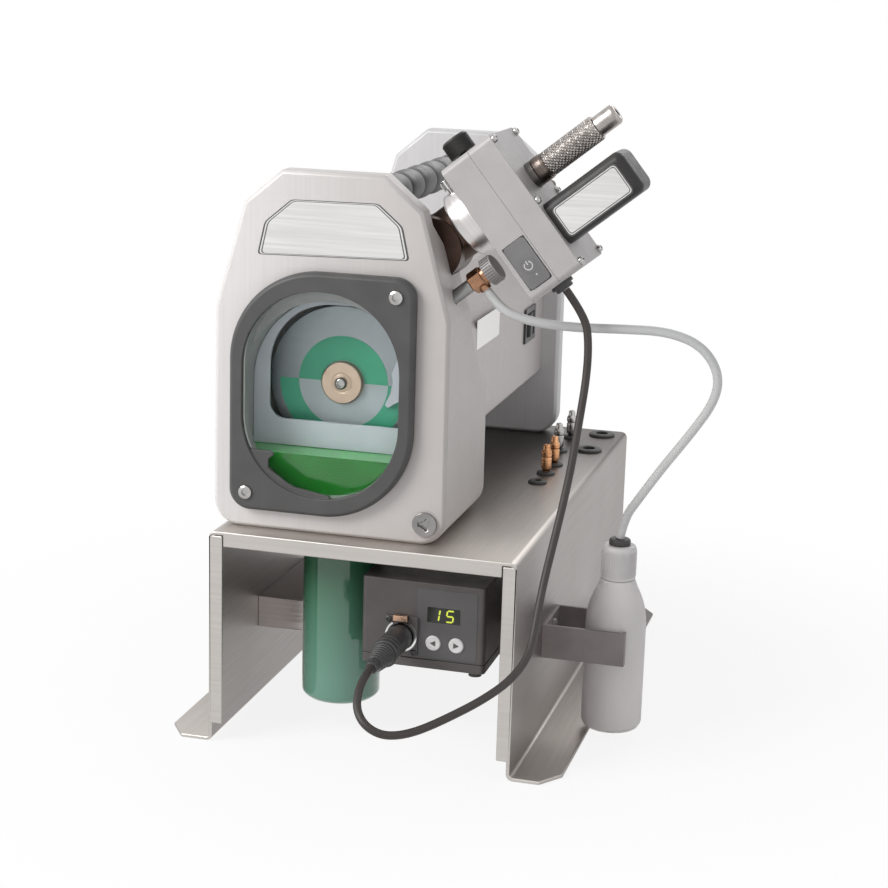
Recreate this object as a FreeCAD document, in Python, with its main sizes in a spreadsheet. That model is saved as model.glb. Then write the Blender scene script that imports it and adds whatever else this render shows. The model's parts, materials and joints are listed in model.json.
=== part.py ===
import FreeCAD, Part
import math
import os
import re
import Sketcher

# Wet electrode sharpener on a bent bench stand, in millimetres.
# +X is to the operator's right, +Y to the back, +Z up, the bench at Z = 0.
# The origin is under the middle of the whole object's box.

SIZES = {
    # bench stand of bent stainless sheet
    "stand_x": -21.25,
    "stand_width": 242.0,
    "stand_depth": 445.0,
    "stand_height": 171.0,
    "stand_sheet": 3.0,
    "bend_radius": 2.5,
    "foot_reach": 37.0,
    "foot_cut_x": 14.0,
    "foot_cut_y": 20.0,
    "lip_drop": 9.0,
    "return_width": 11.0,
    "return_lift": 15.0,
    "corner_slit": 0.5,
    # cross brace between the stand's legs
    "brace_top": 88.0,
    "brace_setback": 101.5,
    "brace_depth": 113.0,
    "brace_sheet": 2.0,
    "brace_lip": 26.0,
    # tool grommets along the right side of the stand
    "grommet_row_in": 38.0,
    "grommet_row_back": 212.5,
    "grommet_pitch": 32.0,
    "steel_row_in": 45.0,
    "steel_row_back": 97.5,
    "steel_pitch": 55.0,
    "small_hole_r": 5.0,
    "small_bore_r": 3.0,
    "large_row_in": 20.0,
    "large_row_back": 84.5,
    "large_pitch": 62.0,
    "large_hole_r": 9.0,
    "large_bore_r": 5.5,
    "grommet_flange": 3.0,
    "grommet_lip": 2.5,
    "collet_head_r": 4.6,
    "collet_head": 9.0,
    "collet_stem_r": 2.7,
    "collet_stand": 26.0,
    # front casing, an eight-sided block with a wheel chamber
    "machine_offset": -33.0,
    "machine_setback": 21.0,
    "case_half_width": 92.5,
    "case_corner": 20.0,
    "shoulder_height": 170.0,
    "shoulder_half_width": 91.5,
    "upper_height": 250.0,
    "upper_half_width": 69.0,
    "top_height": 275.0,
    "top_half_width": 39.5,
    "case_depth": 117.5,
    "case_edge": 2.5,
    "crown_depth": 56.5,
    "crown_top_depth": 18.0,
    "crown_step": 239.0,
    "crown_height": 199.5,
    "crown_radius": 105.0,
    "boss_wall": 6.0,
    "boss_root": 10.0,
    "front_wall": 10.0,
    "chamber_depth": 55.5,
    "chamber_radius": 68.0,
    "chamber_floor": 14.0,
    "partition": 8.0,
    "bay_gap": 6.0,
    # wheel and its spindle
    "wheel_offset": -38.0,
    "wheel_height": 109.0,
    "wheel_radius": 60.0,
    "wheel_width": 12.0,
    "wheel_back_gap": 4.0,
    "spindle_r": 7.0,
    "run_gap": 0.03,
    "clear_gap": 0.3,
    "hub_radius": 16.5,
    "hub_width": 5.0,
    "hub_screw_r": 5.0,
    "hub_screw_head": 4.0,
    "hub_hex_r": 2.5,
    "hub_hex_depth": 2.5,
    # window in the front of the chamber
    "window_left": 61.5,
    "window_right": 61.5,
    "window_low": 30.0,
    "window_high": 187.5,
    "window_round": 60.0,
    "frame_left": 72.0,
    "frame_right": 72.0,
    "frame_low": 16.0,
    "frame_high": 202.0,
    "frame_big_round": 70.0,
    "frame_small_round": 16.0,
    "frame_thickness": 9.0,
    "shelf_height": 63.5,
    "shelf_reach": 23.5,
    "shelf_nose": 2.5,
    "shelf_fall": 13.5,
    "shelf_run": 40.0,
    "shelf_rise": 7.4,
    "shelf_sheet": 2.5,
    "shelf_back": 2.0,
    "pane_margin": 5.0,
    "pane_thickness": 4.0,
    "frame_screw_in": 14.0,
    "frame_screw_r": 5.5,
    "frame_screw_head": 2.5,
    "frame_screw_shank_r": 3.0,
    # coolant, splash ledge and wiper in the chamber
    "coolant_level": 58.5,
    "guard_setback": 24.5,
    "guard_sheet": 3.0,
    "guard_lip": 21.0,
    "guard_edge": 13.0,
    "guard_round": 12.0,
    "guard_arch": 62.0,
    "wiper_in": 40.0,
    "wiper_high": 23.6,
    "wiper_low": 16.6,
    "wiper_tip": 5.0,
    "wiper_thickness": 3.0,
    "fluid_gap": 0.2,
    # drain plug low on the front
    "plug_offset": 77.0,
    "plug_height": 16.5,
    "plug_radius": 9.4,
    "plug_head": 3.0,
    "plug_neck_r": 7.0,
    "plug_neck": 8.0,
    "plug_slot_w": 3.0,
    "plug_slot_l": 5.0,
    "plug_bore_r": 3.0,
    # motor and its cover
    "cover_half_width": 76.0,
    "cover_low": 57.0,
    "cover_high": 185.0,
    "cover_bevel": 4.0,
    "cover_shoulder": 140.0,
    "cover_top_half": 50.0,
    "cover_wall": 3.0,
    "motor_radius": 44.0,
    "motor_length": 226.0,
    "motor_end": 16.0,
    "motor_bore_r": 33.0,
    "rotor_radius": 32.0,
    "rotor_end_gap": 8.0,
    "bearing_r": 16.0,
    "bearing_width": 10.0,
    "shaft_hole_gap": 2.0,
    # rear plate, handle, switch and mains inlet
    "rear_setback": 410.0,
    "rear_thickness": 17.5,
    "handle_offset": 2.0,
    "handle_below_top": 15.0,
    "handle_radius": 11.5,
    "handle_rib_r": 13.0,
    "handle_rib_width": 6.0,
    "handle_rib_pitch": 11.0,
    "handle_rib_start": 12.0,
    "switch_from_back": 58.0,
    "switch_height": 113.0,
    "switch_length": 32.0,
    "switch_tall": 25.0,
    "switch_rim": 3.0,
    "switch_depth": 12.0,
    "switch_proud": 2.0,
    "rocker_tilt": 8.0,
    "rocker_in": 4.0,
    "rocker_half": 11.0,
    "rocker_proud": 1.0,
    "rocker_axle_r": 2.0,
    "inlet_width": 50.0,
    "inlet_tall": 28.0,
    "inlet_height": 75.0,
    "inlet_proud": 4.0,
    "inlet_well_w": 28.0,
    "inlet_well_t": 20.0,
    "inlet_shell": 2.0,
    "inlet_sink": 15.0,
    "inlet_pin_w": 2.2,
    "inlet_pin_t": 4.2,
    "inlet_pin": 7.0,
    "inlet_pin_pitch": 7.0,
    "inlet_pin_drop": 4.0,
    # drip fitting at the casing's right shoulder, placed in the head's frame
    "fitting_drop": 39.0,
    "fitting_fore": 26.0,
    "fitting_stem_r": 5.0,
    "fitting_stem_in": 24.0,
    "fitting_start": 12.0,
    "fitting_length": 15.0,
    "fitting_r": 8.5,
    "nut_r": 11.0,
    "nut_length": 9.0,
    "barb_r": 4.6,
    "barb_out": 9.5,
    "barb_at": 7.0,
    # sludge jar below the stand
    "jar_offset": -34.5,
    "jar_setback": 66.5,
    "jar_radius": 31.0,
    "jar_wall": 2.0,
    "jar_bottom": 28.0,
    "jar_round": 12.0,
    "jar_rim_gap": 0.2,
    "collar_drop": 20.0,
    "collar_roof": 7.0,
    "collar_wall": 3.0,
    "drain_bore_r": 9.0,
    # drip bottle on the right leg
    "bottle_out": 53.5,
    "bottle_setback": 124.0,
    "bottle_radius": 24.0,
    "bottle_base": 7.0,
    "bottle_shoulder": 86.0,
    "bottle_dome": 37.0,
    "bottle_throat_r": 13.4,
    "bottle_neck_r": 11.0,
    "bottle_neck": 24.0,
    "bottle_wall": 1.6,
    "bottle_heel": 5.0,
    "cap_radius": 14.0,
    "cap_height": 27.0,
    "cap_roof": 3.0,
    "cap_grommet_r": 6.5,
    "cap_grommet_proud": 5.0,
    "clip_base": 3.0,
    "clip_arm": 3.0,
    "clip_height": 27.0,
    "clip_low": 66.0,
    "clip_reach": 66.0,
    "clip_lip": 3.0,
    "clip_gap": 0.4,
    # control box under the stand
    "box_left": -1.5,
    "box_width": 97.0,
    "box_setback": 12.5,
    "box_bottom": 77.0,
    "box_seam": 84.0,
    "box_top": 145.0,
    "box_round": 4.0,
    "box_wall": 2.5,
    "box_foot_r": 5.0,
    "box_foot": 4.0,
    "box_foot_in": 9.0,
    "button_r": 5.9,
    "button_left_x": 57.0,
    "button_pitch": 18.0,
    "button_height": 21.0,
    "button_proud": 1.6,
    "button_length": 7.0,
    "socket_x": 32.0,
    "socket_height": 24.3,
    "socket_width": 26.0,
    "socket_tall": 31.0,
    "socket_flange": 2.0,
    "socket_r": 12.0,
    "socket_depth": 20.0,
    "socket_bore_r": 9.6,
    "latch_width": 11.0,
    "latch_tall": 4.4,
    "latch_proud": 3.5,
    "latch_lift": 14.5,
    "plug_nose_r": 9.5,
    "plug_nose": 15.0,
    "plug_body_r": 10.5,
    "plug_body": 44.0,
    "boot_r": 9.0,
    "boot_tip_r": 4.6,
    "boot_length": 32.0,
    # swing drum and its pin
    "pivot_offset": 32.9,
    "pivot_setback": 76.5,
    "pivot_height": 218.1,
    "head_tilt": 38.9,
    "head_lift": 15.0,
    "head_drop": 8.0,
    "drum_r": 24.0,
    "drum_half": 22.0,
    "neck_r": 21.5,
    "neck_end": 26.5,
    "port_r": 6.0,
    "passage_r": 7.0,
    "passage_reach": 74.0,
    "pin_r": 5.0,
    "pin_grip": 14.0,
    "pin_reach": 10.0,
    # drive head, along its own tilted axis
    "flange_r": 26.5,
    "head_back": 45.5,
    "rear_shell": 25.0,
    "front_shell": 20.5,
    "head_rise": 40.6,
    "head_fall": 76.3,
    "head_half": 38.0,
    "head_round": 5.0,
    "head_wall": 3.0,
    "spigot_r": 11.8,
    "spigot_length": 20.0,
    "screw_inset": 4.5,
    "screw_middle": 18.0,
    "screw_r": 3.0,
    "screw_head": 3.0,
    "screw_shank_r": 1.5,
    "screw_shank": 10.0,
    "pad_start": 4.0,
    "pad_width": 19.0,
    "pad_drop": 32.5,
    "pad_length": 36.0,
    "pad_thickness": 2.0,
    "pad_proud": 0.8,
    "pad_travel": 0.6,
    "pad_round": 3.0,
    "motor_drop": 40.25,
    "motor_fore": 12.0,
    "grip_width": 35.0,
    "grip_depth": 40.0,
    "grip_length": 69.0,
    "grip_round": 8.0,
    "drive_motor_r": 14.0,
    "drive_motor": 58.0,
    "drive_shaft_r": 3.0,
    "drive_shaft_in": 9.0,
    "small_pulley_r": 10.0,
    "large_pulley_r": 20.0,
    "pulley_width": 8.0,
    "pulley_at": 73.0,
    "belt_thickness": 1.5,
    "sleeve_r": 8.5,
    "sleeve_back": 67.0,
    "sleeve_nose_r": 10.5,
    "sleeve_nose": 5.0,
    "stem_r": 5.0,
    "stem_back": 70.0,
    "collar_r": 10.6,
    "collar_length": 9.0,
    "knurl_r": 10.0,
    "knurl_length": 46.0,
    "cap_r": 8.0,
    "cap_length": 18.0,
    "electrode_bore_r": 1.65,
    "cap_bore_r": 3.0,
    "knob_at": 58.0,
    "knob_r": 10.8,
    "knob_length": 13.5,
    "knob_gap": 3.5,
    "knob_screw_r": 3.0,
    "thumb_at": 33.0,
    "thumb_r": 4.0,
    "thumb_length": 7.0,
    "thumb_gap": 3.0,
    "thumb_screw_r": 2.0,
    "thumb_screw_in": 8.0,
    "gland_at": 66.0,
    "gland_fore": 18.0,
    "gland_r": 7.0,
    "gland_flange_r": 9.0,
    "gland_flange": 3.0,
    "gland_length": 3.0,
    # hose and cable
    "cable_d": 6.0,
    "cable_gap": 0.1,
    "hose_d": 7.0,
    "hose_gap": 0.6,
}

os.makedirs("parts", exist_ok=True)
doc = FreeCAD.newDocument("sharpener")
sheet = doc.addObject("Spreadsheet::Sheet", "dims")
for row, (word, number) in enumerate(SIZES.items(), 1):
    sheet.set("A%d" % row, word)
    sheet.set("B%d" % row, str(number))
    sheet.setAlias("B%d" % row, word)
doc.recompute()

NODES = []


def bound(text):
    """An expression with every size's name read from the sheet."""
    return re.sub(r"[a-z]\w*", lambda m: "dims." + m.group(0) if m.group(0) in SIZES else m.group(0), text)


def number(text):
    return float(sheet.evalExpression(bound(text)))


TURNS = {
    "x": "rotation(vector(0; 1; 0); 90)",
    "y": "rotation(vector(1; 0; 0); -90)",
    "z": "rotation(vector(0; 0; 1); 0)",
    "-y": "rotation(vector(1; 0; 0); 90)",
    "-z": "rotation(vector(1; 0; 0); 180)",
}


def set_at(piece, at, along="z", frame=None):
    """Place a piece at a point, with its own +Z along an axis, in the world or in a frame."""
    own = "placement(vector(%s; %s; %s); %s)" % (*at, TURNS[along])
    piece.setExpression("Placement", bound(frame + " * " + own if frame else own))


def block(name, low, size, frame=None):
    piece = doc.addObject("Part::Box", name)
    for side, text in zip(("Length", "Width", "Height"), size):
        piece.setExpression(side, bound(text))
    set_at(piece, low, frame=frame)
    return piece


def rod(name, radius, length, at, along="z", frame=None):
    piece = doc.addObject("Part::Cylinder", name)
    piece.setExpression("Radius", bound(radius))
    piece.setExpression("Height", bound(length))
    set_at(piece, at, along, frame)
    return piece


def tip(name, radius, end_radius, length, at, along="z", frame=None):
    piece = doc.addObject("Part::Cone", name)
    piece.setExpression("Radius1", bound(radius))
    piece.setExpression("Radius2", bound(end_radius))
    piece.setExpression("Height", bound(length))
    set_at(piece, at, along, frame)
    return piece


def join(name, *pieces):
    piece = doc.addObject("Part::MultiFuse", name)
    piece.Shapes = list(pieces)
    return piece


def cut(name, base, *tools):
    piece = doc.addObject("Part::Cut", name)
    piece.Base = base
    piece.Tool = tools[0] if len(tools) == 1 else join(name + "_tools", *tools)
    return piece


def common(name, first, second):
    piece = doc.addObject("Part::Common", name)
    piece.Base = first
    piece.Tool = second
    return piece


def group(name, *pieces):
    piece = doc.addObject("Part::Compound", name)
    piece.Links = list(pieces)
    return piece


def node(label, piece, frame=None):
    """Register a finished piece under its own name."""
    if frame:
        piece.setExpression("Placement", bound(frame))
    piece.Label = label
    NODES.append((label, piece))
    return piece


def outline_sketch(body, plane, outline):
    """A closed outline whose corners are held by sizes in the sheet."""
    sketch = body.newObject("Sketcher::SketchObject", body.Name + "_outline")
    support = [f for f in body.Origin.OriginFeatures if f.Role == plane][0]
    sketch.AttachmentSupport = [(support, "")]
    sketch.MapMode = "FlatFace"
    corners = [FreeCAD.Vector(number(a), number(b), 0) for a, b in outline]
    count = len(corners)
    for i in range(count):
        sketch.addGeometry(Part.LineSegment(corners[i], corners[(i + 1) % count]))
    for i in range(count):
        sketch.addConstraint(Sketcher.Constraint("Coincident", i, 2, (i + 1) % count, 1))
    for i, (across, up) in enumerate(outline):
        held = sketch.addConstraint(Sketcher.Constraint("DistanceX", -1, 1, i, 1, corners[i].x))
        sketch.setExpression("Constraints[%d]" % held, bound(across))
        held = sketch.addConstraint(Sketcher.Constraint("DistanceY", -1, 1, i, 1, corners[i].y))
        sketch.setExpression("Constraints[%d]" % held, bound(up))
    return sketch, corners


DEPTH_AXIS = {"XZ_Plane": "y", "XY_Plane": "z", "YZ_Plane": "x"}
NEAR = 1e-4


def slab(name, plane, outline, thickness, rounds=(), edge=None):
    """An outline padded along its plane's axis, with rounded corners and a bevelled near rim."""
    body = doc.addObject("PartDesign::Body", name)
    sketch, corners = outline_sketch(body, plane, outline)
    pad = body.newObject("PartDesign::Pad", name + "_pad")
    pad.Profile = sketch
    pad.setExpression("Length", bound(thickness))
    pad.Reversed = plane == "XZ_Plane"
    doc.recompute()
    last = pad
    depth = "xyz".index(DEPTH_AXIS[plane])
    for turn, (chosen, radius) in enumerate(rounds):
        names = []
        for index, line in enumerate(last.Shape.Edges, 1):
            a, b = line.Vertexes[0].Point, line.Vertexes[-1].Point
            flat = [v for i, v in enumerate(a) if i != depth]
            if abs(a[depth] - b[depth]) < NEAR or (a - b).Length - abs(a[depth] - b[depth]) > NEAR:
                continue
            if any(math.dist(flat, corners[i][:2]) < NEAR for i in chosen):
                names.append("Edge%d" % index)
        fillet = body.newObject("PartDesign::Fillet", "%s_round%d" % (name, turn))
        fillet.Base = (last, names)
        fillet.setExpression("Radius", bound(radius))
        doc.recompute()
        last = fillet
    if edge:
        rim = ["Edge%d" % i for i, line in enumerate(last.Shape.Edges, 1)
               if max(abs(v.Point[depth]) for v in line.Vertexes) < NEAR]
        bevel = body.newObject("PartDesign::Chamfer", name + "_edge")
        bevel.Base = (last, rim)
        bevel.setExpression("Size", bound(edge))
        doc.recompute()
    return body


def rectangle(left, right, low, high):
    return [(left, low), (right, low), (right, high), (left, high)]


def turned(name, outline, at, along="z", frame=None):
    """An outline of (radius, height) turned round its own Z axis."""
    body = doc.addObject("PartDesign::Body", name)
    sketch, _ = outline_sketch(body, "XZ_Plane", outline)
    turn = body.newObject("PartDesign::Revolution", name + "_turn")
    turn.Profile = sketch
    turn.ReferenceAxis = (sketch, ["V_Axis"])
    turn.Angle = 360
    set_at(body, at, along, frame)
    return body


# Bench stand

HALF = "(stand_width / 2)"
INNER = "(stand_width / 2 - stand_sheet)"
FRONT = "(-stand_depth / 2)"
REACH = "(stand_width / 2 + foot_reach)"

hat = [
    ("-" + REACH, "0"), ("-" + INNER, "0"), ("-" + INNER, "stand_height - stand_sheet"),
    (INNER, "stand_height - stand_sheet"), (INNER, "0"), (REACH, "0"),
    (REACH, "stand_sheet"), (HALF, "stand_sheet"), (HALF, "stand_height"),
    ("-" + HALF, "stand_height"), ("-" + HALF, "stand_sheet"), ("-" + REACH, "stand_sheet"),
]
sheet_body = slab("stand_sheet_body", "XZ_Plane", hat, "stand_depth",
                  rounds=[((2, 3, 7, 10), "bend_radius"), ((1, 4, 8, 9), "bend_radius + stand_sheet")])
set_at(sheet_body, ("stand_x", FRONT, "0"))


def foot_corner(name, side, end):
    """One corner that is sheared off a foot."""
    out = "%s * %s" % (side, REACH)
    inside = "%s * (%s - foot_cut_x)" % (side, REACH)
    tip_y = "%s * stand_depth / 2" % end
    far_y = "%s * (stand_depth / 2 - foot_cut_y)" % end
    corner = slab(name, "XY_Plane", [(out, tip_y), (inside, tip_y), (out, far_y)], "2 * stand_sheet")
    set_at(corner, ("stand_x", "0", "-stand_sheet / 2"))
    return corner


foot_cuts = [foot_corner("foot_cut_%d_%d" % (i, k), side, end)
             for i, side in enumerate(("-1", "1")) for k, end in enumerate(("-1", "1"))]

returns = []
for i, y in enumerate((FRONT, "(stand_depth / 2 - stand_sheet)")):
    lip_x = "(stand_width / 2 - return_width - corner_slit)"
    returns.append(block("top_lip_%d" % i,
                         ("stand_x - " + lip_x, y, "stand_height - stand_sheet - lip_drop"),
                         ("2 * " + lip_x, "stand_sheet", "lip_drop + stand_sheet / 2")))
    for k, x in enumerate(("-stand_width / 2 + stand_sheet / 2", "stand_width / 2 - return_width")):
        returns.append(block("leg_return_%d_%d" % (i, k), ("stand_x + " + x, y, "return_lift"),
                             ("return_width - stand_sheet / 2", "stand_sheet",
                              "stand_height - stand_sheet - corner_slit - return_lift")))



def row_spots(row, pitch, count):
    """A row of holes set in from the stand's right side and forward from its back edge."""
    return [("stand_x + stand_width / 2 - %s_in" % row, "stand_depth / 2 - %s_back + %d * %s" % (row, i, pitch))
            for i in range(count)]


SMALL_SPOTS = row_spots("grommet_row", "grommet_pitch", 3)
STEEL_SPOTS = row_spots("steel_row", "steel_pitch", 2)
LARGE_SPOTS = row_spots("large_row", "large_pitch", 2)
JAR_X = "(stand_x + jar_offset)"
JAR_Y = "(jar_setback - stand_depth / 2)"
ROOF = "(stand_height - stand_sheet)"


def plate_hole(name, spot, radius):
    return rod(name, radius, "3 * stand_sheet", (*spot, "stand_height - 2 * stand_sheet"))


holes = [plate_hole("small_hole_%d" % i, spot, "small_hole_r")
         for i, spot in enumerate(SMALL_SPOTS + STEEL_SPOTS)]
holes += [plate_hole("large_hole_%d" % i, spot, "large_hole_r") for i, spot in enumerate(LARGE_SPOTS)]
holes.append(plate_hole("drain_hole", (JAR_X, JAR_Y), "drain_bore_r"))
bent = join("stand_bent", sheet_body, *returns)
node("stand_frame", cut("stand_frame", bent, *foot_cuts, *holes))

# Cross brace, a bent channel between the legs

BRACE_Y = "(brace_setback - stand_depth / 2)"
brace_parts = [
    block("brace_shelf", ("stand_x - " + INNER, BRACE_Y, "brace_top - brace_sheet"),
          ("2 * " + INNER, "brace_depth", "brace_sheet")),
    block("brace_front", ("stand_x - " + INNER, BRACE_Y, "brace_top - brace_lip"),
          ("2 * " + INNER, "brace_sheet", "brace_lip")),
]
for i, x in enumerate(("-" + INNER, INNER + " - brace_sheet")):
    brace_parts.append(block("brace_tab_%d" % i, ("stand_x + " + x, BRACE_Y, "brace_top - brace_lip"),
                             ("brace_sheet", "brace_depth", "brace_lip")))
node("stand_brace", join("stand_brace", *brace_parts))

# Rubber grommets in the top plate and the spare collets that stand in them


def grommet(name, spot, hole, bore):
    wide = hole + " + grommet_flange"
    outline = [
        (bore, "-stand_sheet - grommet_lip"), (wide, "-stand_sheet - grommet_lip"), (wide, "-stand_sheet"),
        (hole, "-stand_sheet"), (hole, "0"), (wide, "0"), (wide, "grommet_lip"), (bore, "grommet_lip"),
    ]
    return turned(name, outline, (*spot, "stand_height"))


def collet(name, spot):
    stem = "stand_sheet + grommet_lip"
    outline = [
        ("0", "-" + stem.replace("+", "-")), ("collet_stem_r", "-" + stem.replace("+", "-")),
        ("collet_stem_r", "grommet_lip"), ("collet_head_r", "grommet_lip"),
        ("collet_head_r", "grommet_lip + collet_head"), ("collet_stem_r", "grommet_lip + collet_head + 2"),
        ("collet_stem_r", "collet_stand"), ("0", "collet_stand"),
    ]
    return turned(name, outline, (*spot, "stand_height"))


node("small_grommets", group("small_grommets", *[
    grommet("small_grommet_%d" % i, spot, "small_hole_r", "small_bore_r")
    for i, spot in enumerate(SMALL_SPOTS + STEEL_SPOTS)]))
node("large_grommets", group("large_grommets", *[
    grommet("large_grommet_%d" % i, spot, "large_hole_r", "large_bore_r")
    for i, spot in enumerate(LARGE_SPOTS)]))
node("spare_collets", group("spare_collets", *[
    collet("spare_collet_%d" % i, spot) for i, spot in enumerate(SMALL_SPOTS[1:] + STEEL_SPOTS)]))

# Front casing

MACHINE_X = "(stand_x + machine_offset)"
CASE_Y = "(machine_setback - stand_depth / 2)"
WHEEL_X = "(stand_x + wheel_offset)"
WHEEL_Z = "(stand_height + wheel_height)"
CHAMBER_END = "(machine_setback - stand_depth / 2 + front_wall + chamber_depth)"
BAY_Y = "(machine_setback - stand_depth / 2 + front_wall + chamber_depth + partition)"
PIVOT_X = "(stand_x + pivot_offset)"
PIVOT_Y = "(pivot_setback - stand_depth / 2)"
PIVOT_Z = "(stand_height + pivot_height)"
HEAD = "placement(vector(%s; %s; %s); rotation(vector(0; -1; 0); head_tilt))" % (PIVOT_X, PIVOT_Y, PIVOT_Z)

eight_sides = [
    ("-case_half_width", "0"), ("case_half_width", "0"), ("shoulder_half_width", "shoulder_height"),
    ("upper_half_width", "upper_height"), ("top_half_width", "top_height"),
    ("-top_half_width", "top_height"), ("-upper_half_width", "upper_height"),
    ("-shoulder_half_width", "shoulder_height"),
]
case_block = slab("case_block", "XZ_Plane", eight_sides, "case_depth",
                  rounds=[((0, 1), "case_corner")], edge="case_edge")
set_at(case_block, (MACHINE_X, CASE_Y, "stand_height"))

CROWN_LEFT = MACHINE_X + " - 1.5 * case_half_width"
crown_curve = rod("crown_curve", "crown_radius", "3 * case_half_width",
                  (CROWN_LEFT, CASE_Y + " + crown_depth + crown_radius", "stand_height + crown_height"), "x")
crown_space = slab("crown_space", "YZ_Plane",
                   [("crown_depth", "crown_height"), ("2 * case_depth", "crown_height"), ("2 * case_depth", "2 * top_height"),
                    ("crown_top_depth", "2 * top_height"), ("crown_top_depth", "crown_step")], "3 * case_half_width")
set_at(crown_space, (CROWN_LEFT, CASE_Y, "stand_height"))


def stadium(name, half, low, high, corner, thickness, y):
    """An upright opening round the wheel's centre line."""
    piece = slab(name, "XZ_Plane", rectangle("-" + half, half, low, high), thickness,
                 rounds=[((0, 1, 2, 3), corner)])
    set_at(piece, (WHEEL_X, y, "stand_height"))
    return piece


chamber_drum = rod("chamber_drum", "chamber_radius", "chamber_depth",
                   (WHEEL_X, CASE_Y + " + front_wall", WHEEL_Z), "y")
chamber_pool = block("chamber_pool", (WHEEL_X + " - chamber_radius", CASE_Y + " + front_wall",
                                      "stand_height + chamber_floor"),
                     ("2 * chamber_radius", "chamber_depth", "wheel_height - chamber_floor"))
case_window = stadium("case_window", "(window_left + 1)", "window_low - 1", "window_high + 1",
                      "window_round", "2 * front_wall", CASE_Y + " - front_wall / 2")
cover_sides = [
    ("-cover_half_width + cover_bevel", "cover_low"), ("cover_half_width - cover_bevel", "cover_low"),
    ("cover_half_width", "cover_low + cover_bevel"), ("cover_half_width", "cover_shoulder"),
    ("cover_top_half", "cover_high"), ("-cover_top_half", "cover_high"),
    ("-cover_half_width", "cover_shoulder"), ("-cover_half_width", "cover_low + cover_bevel"),
]
bay = slab("motor_bay", "XZ_Plane",
           [("-cover_half_width - bay_gap", "cover_low - bay_gap"),
            ("cover_half_width + bay_gap", "cover_low - bay_gap"),
            ("cover_half_width + bay_gap", "cover_high + bay_gap"),
            ("-cover_half_width - bay_gap", "cover_high + bay_gap")], "case_depth")
set_at(bay, (MACHINE_X, BAY_Y, "stand_height"))
case_boss = rod("case_boss", "chamber_radius + boss_wall",
                "front_wall + chamber_depth + partition - crown_depth + boss_root",
                (WHEEL_X, CASE_Y + " + crown_depth - boss_root", WHEEL_Z), "y")
shaft_hole = rod("shaft_hole", "spindle_r + shaft_hole_gap", "2 * partition",
                 (WHEEL_X, CHAMBER_END + " - partition / 2", WHEEL_Z), "y")
drain_bore = rod("drain_bore", "drain_bore_r", "2 * chamber_floor",
                 (JAR_X, JAR_Y, "stand_height - chamber_floor / 2"))
drum_seat = rod("drum_seat", "drum_r + clear_gap", "2 * drum_half + case_depth",
                (PIVOT_X, PIVOT_Y + " - drum_half - clear_gap", PIVOT_Z), "y")
LIFTED = HEAD + " * placement(vector(0; 0; 0); rotation(vector(0; -1; 0); head_lift))"
neck_ways = [rod("neck_way_%d" % i, "neck_r + 1", "2 * neck_end", ("0", "0", "0"), "x", frame)
             for i, frame in enumerate((HEAD, LIFTED))]
passage = slab("electrode_passage", "XZ_Plane",
               [("-drum_r / 2", "-passage_r - drum_r / 2 * tan(head_lift)"),
                ("-drum_r / 2", "passage_r + drum_r / 2 * tan(head_drop)"),
                ("-passage_reach", "passage_r + passage_reach * tan(head_drop)"),
                ("-passage_reach", "-passage_r - passage_reach * tan(head_lift)")], "2 * passage_r")
set_at(passage, ("0", "-passage_r", "0"), frame=HEAD)
pin_hole = rod("pin_hole", "pin_r", "pin_grip + 1",
               (PIVOT_X, PIVOT_Y + " - drum_half - clear_gap - pin_grip", PIVOT_Z), "y")
stem_hole = rod("stem_hole", "fitting_stem_r", "fitting_stem_in",
                ("fitting_start - fitting_stem_in", "-fitting_fore", "-fitting_drop"), "x", HEAD)
PLUG_AT = (MACHINE_X + " + plug_offset", CASE_Y, "stand_height + plug_height")
plug_seat = rod("plug_seat", "plug_neck_r", "plug_neck", PLUG_AT, "y")
SCREW_SPOTS = [
    (WHEEL_X + " + frame_right - frame_screw_in", "stand_height + frame_high - frame_screw_in"),
    (WHEEL_X + " - frame_left + frame_screw_in", "stand_height + frame_low + frame_screw_in"),
]
SCREW_END = CASE_Y + " + front_wall - 1"
screw_wells = [rod("screw_well_%d" % i, "frame_screw_shank_r", "front_wall - 1", (x, CASE_Y, z), "y")
               for i, (x, z) in enumerate(SCREW_SPOTS)]
crowned = join("case_crowned", cut("case_cut_back", case_block, crown_curve, crown_space), case_boss)
node("front_casing", cut("front_casing", crowned, chamber_drum, chamber_pool, case_window,
                         bay, shaft_hole, drain_bore, drum_seat, *neck_ways, passage, pin_hole, stem_hole,
                         plug_seat, *screw_wells))

# Window: a plastic frame with two screws and a clear pane in its rebate

frame_ring = slab("frame_ring", "XZ_Plane", rectangle("-frame_left", "frame_right", "frame_low", "frame_high"),
                  "frame_thickness", rounds=[((1, 3), "frame_big_round"), ((0, 2), "frame_small_round")],
                  edge="case_edge")
set_at(frame_ring, (WHEEL_X, CASE_Y + " - frame_thickness", "stand_height"))
frame_hole = stadium("frame_hole", "window_left", "window_low", "window_high", "window_round",
                     "2 * frame_thickness", CASE_Y + " - 1.5 * frame_thickness")
pane_rebate = stadium("pane_rebate", "(window_left + pane_margin)", "window_low - pane_margin",
                      "window_high + pane_margin", "window_round + pane_margin",
                      "2 * pane_thickness", CASE_Y + " - pane_thickness")
frame_wells = [rod("frame_well_%d" % i, "frame_screw_shank_r", "2 * frame_thickness",
                   (x, CASE_Y + " - 1.5 * frame_thickness", z), "y") for i, (x, z) in enumerate(SCREW_SPOTS)]
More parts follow.
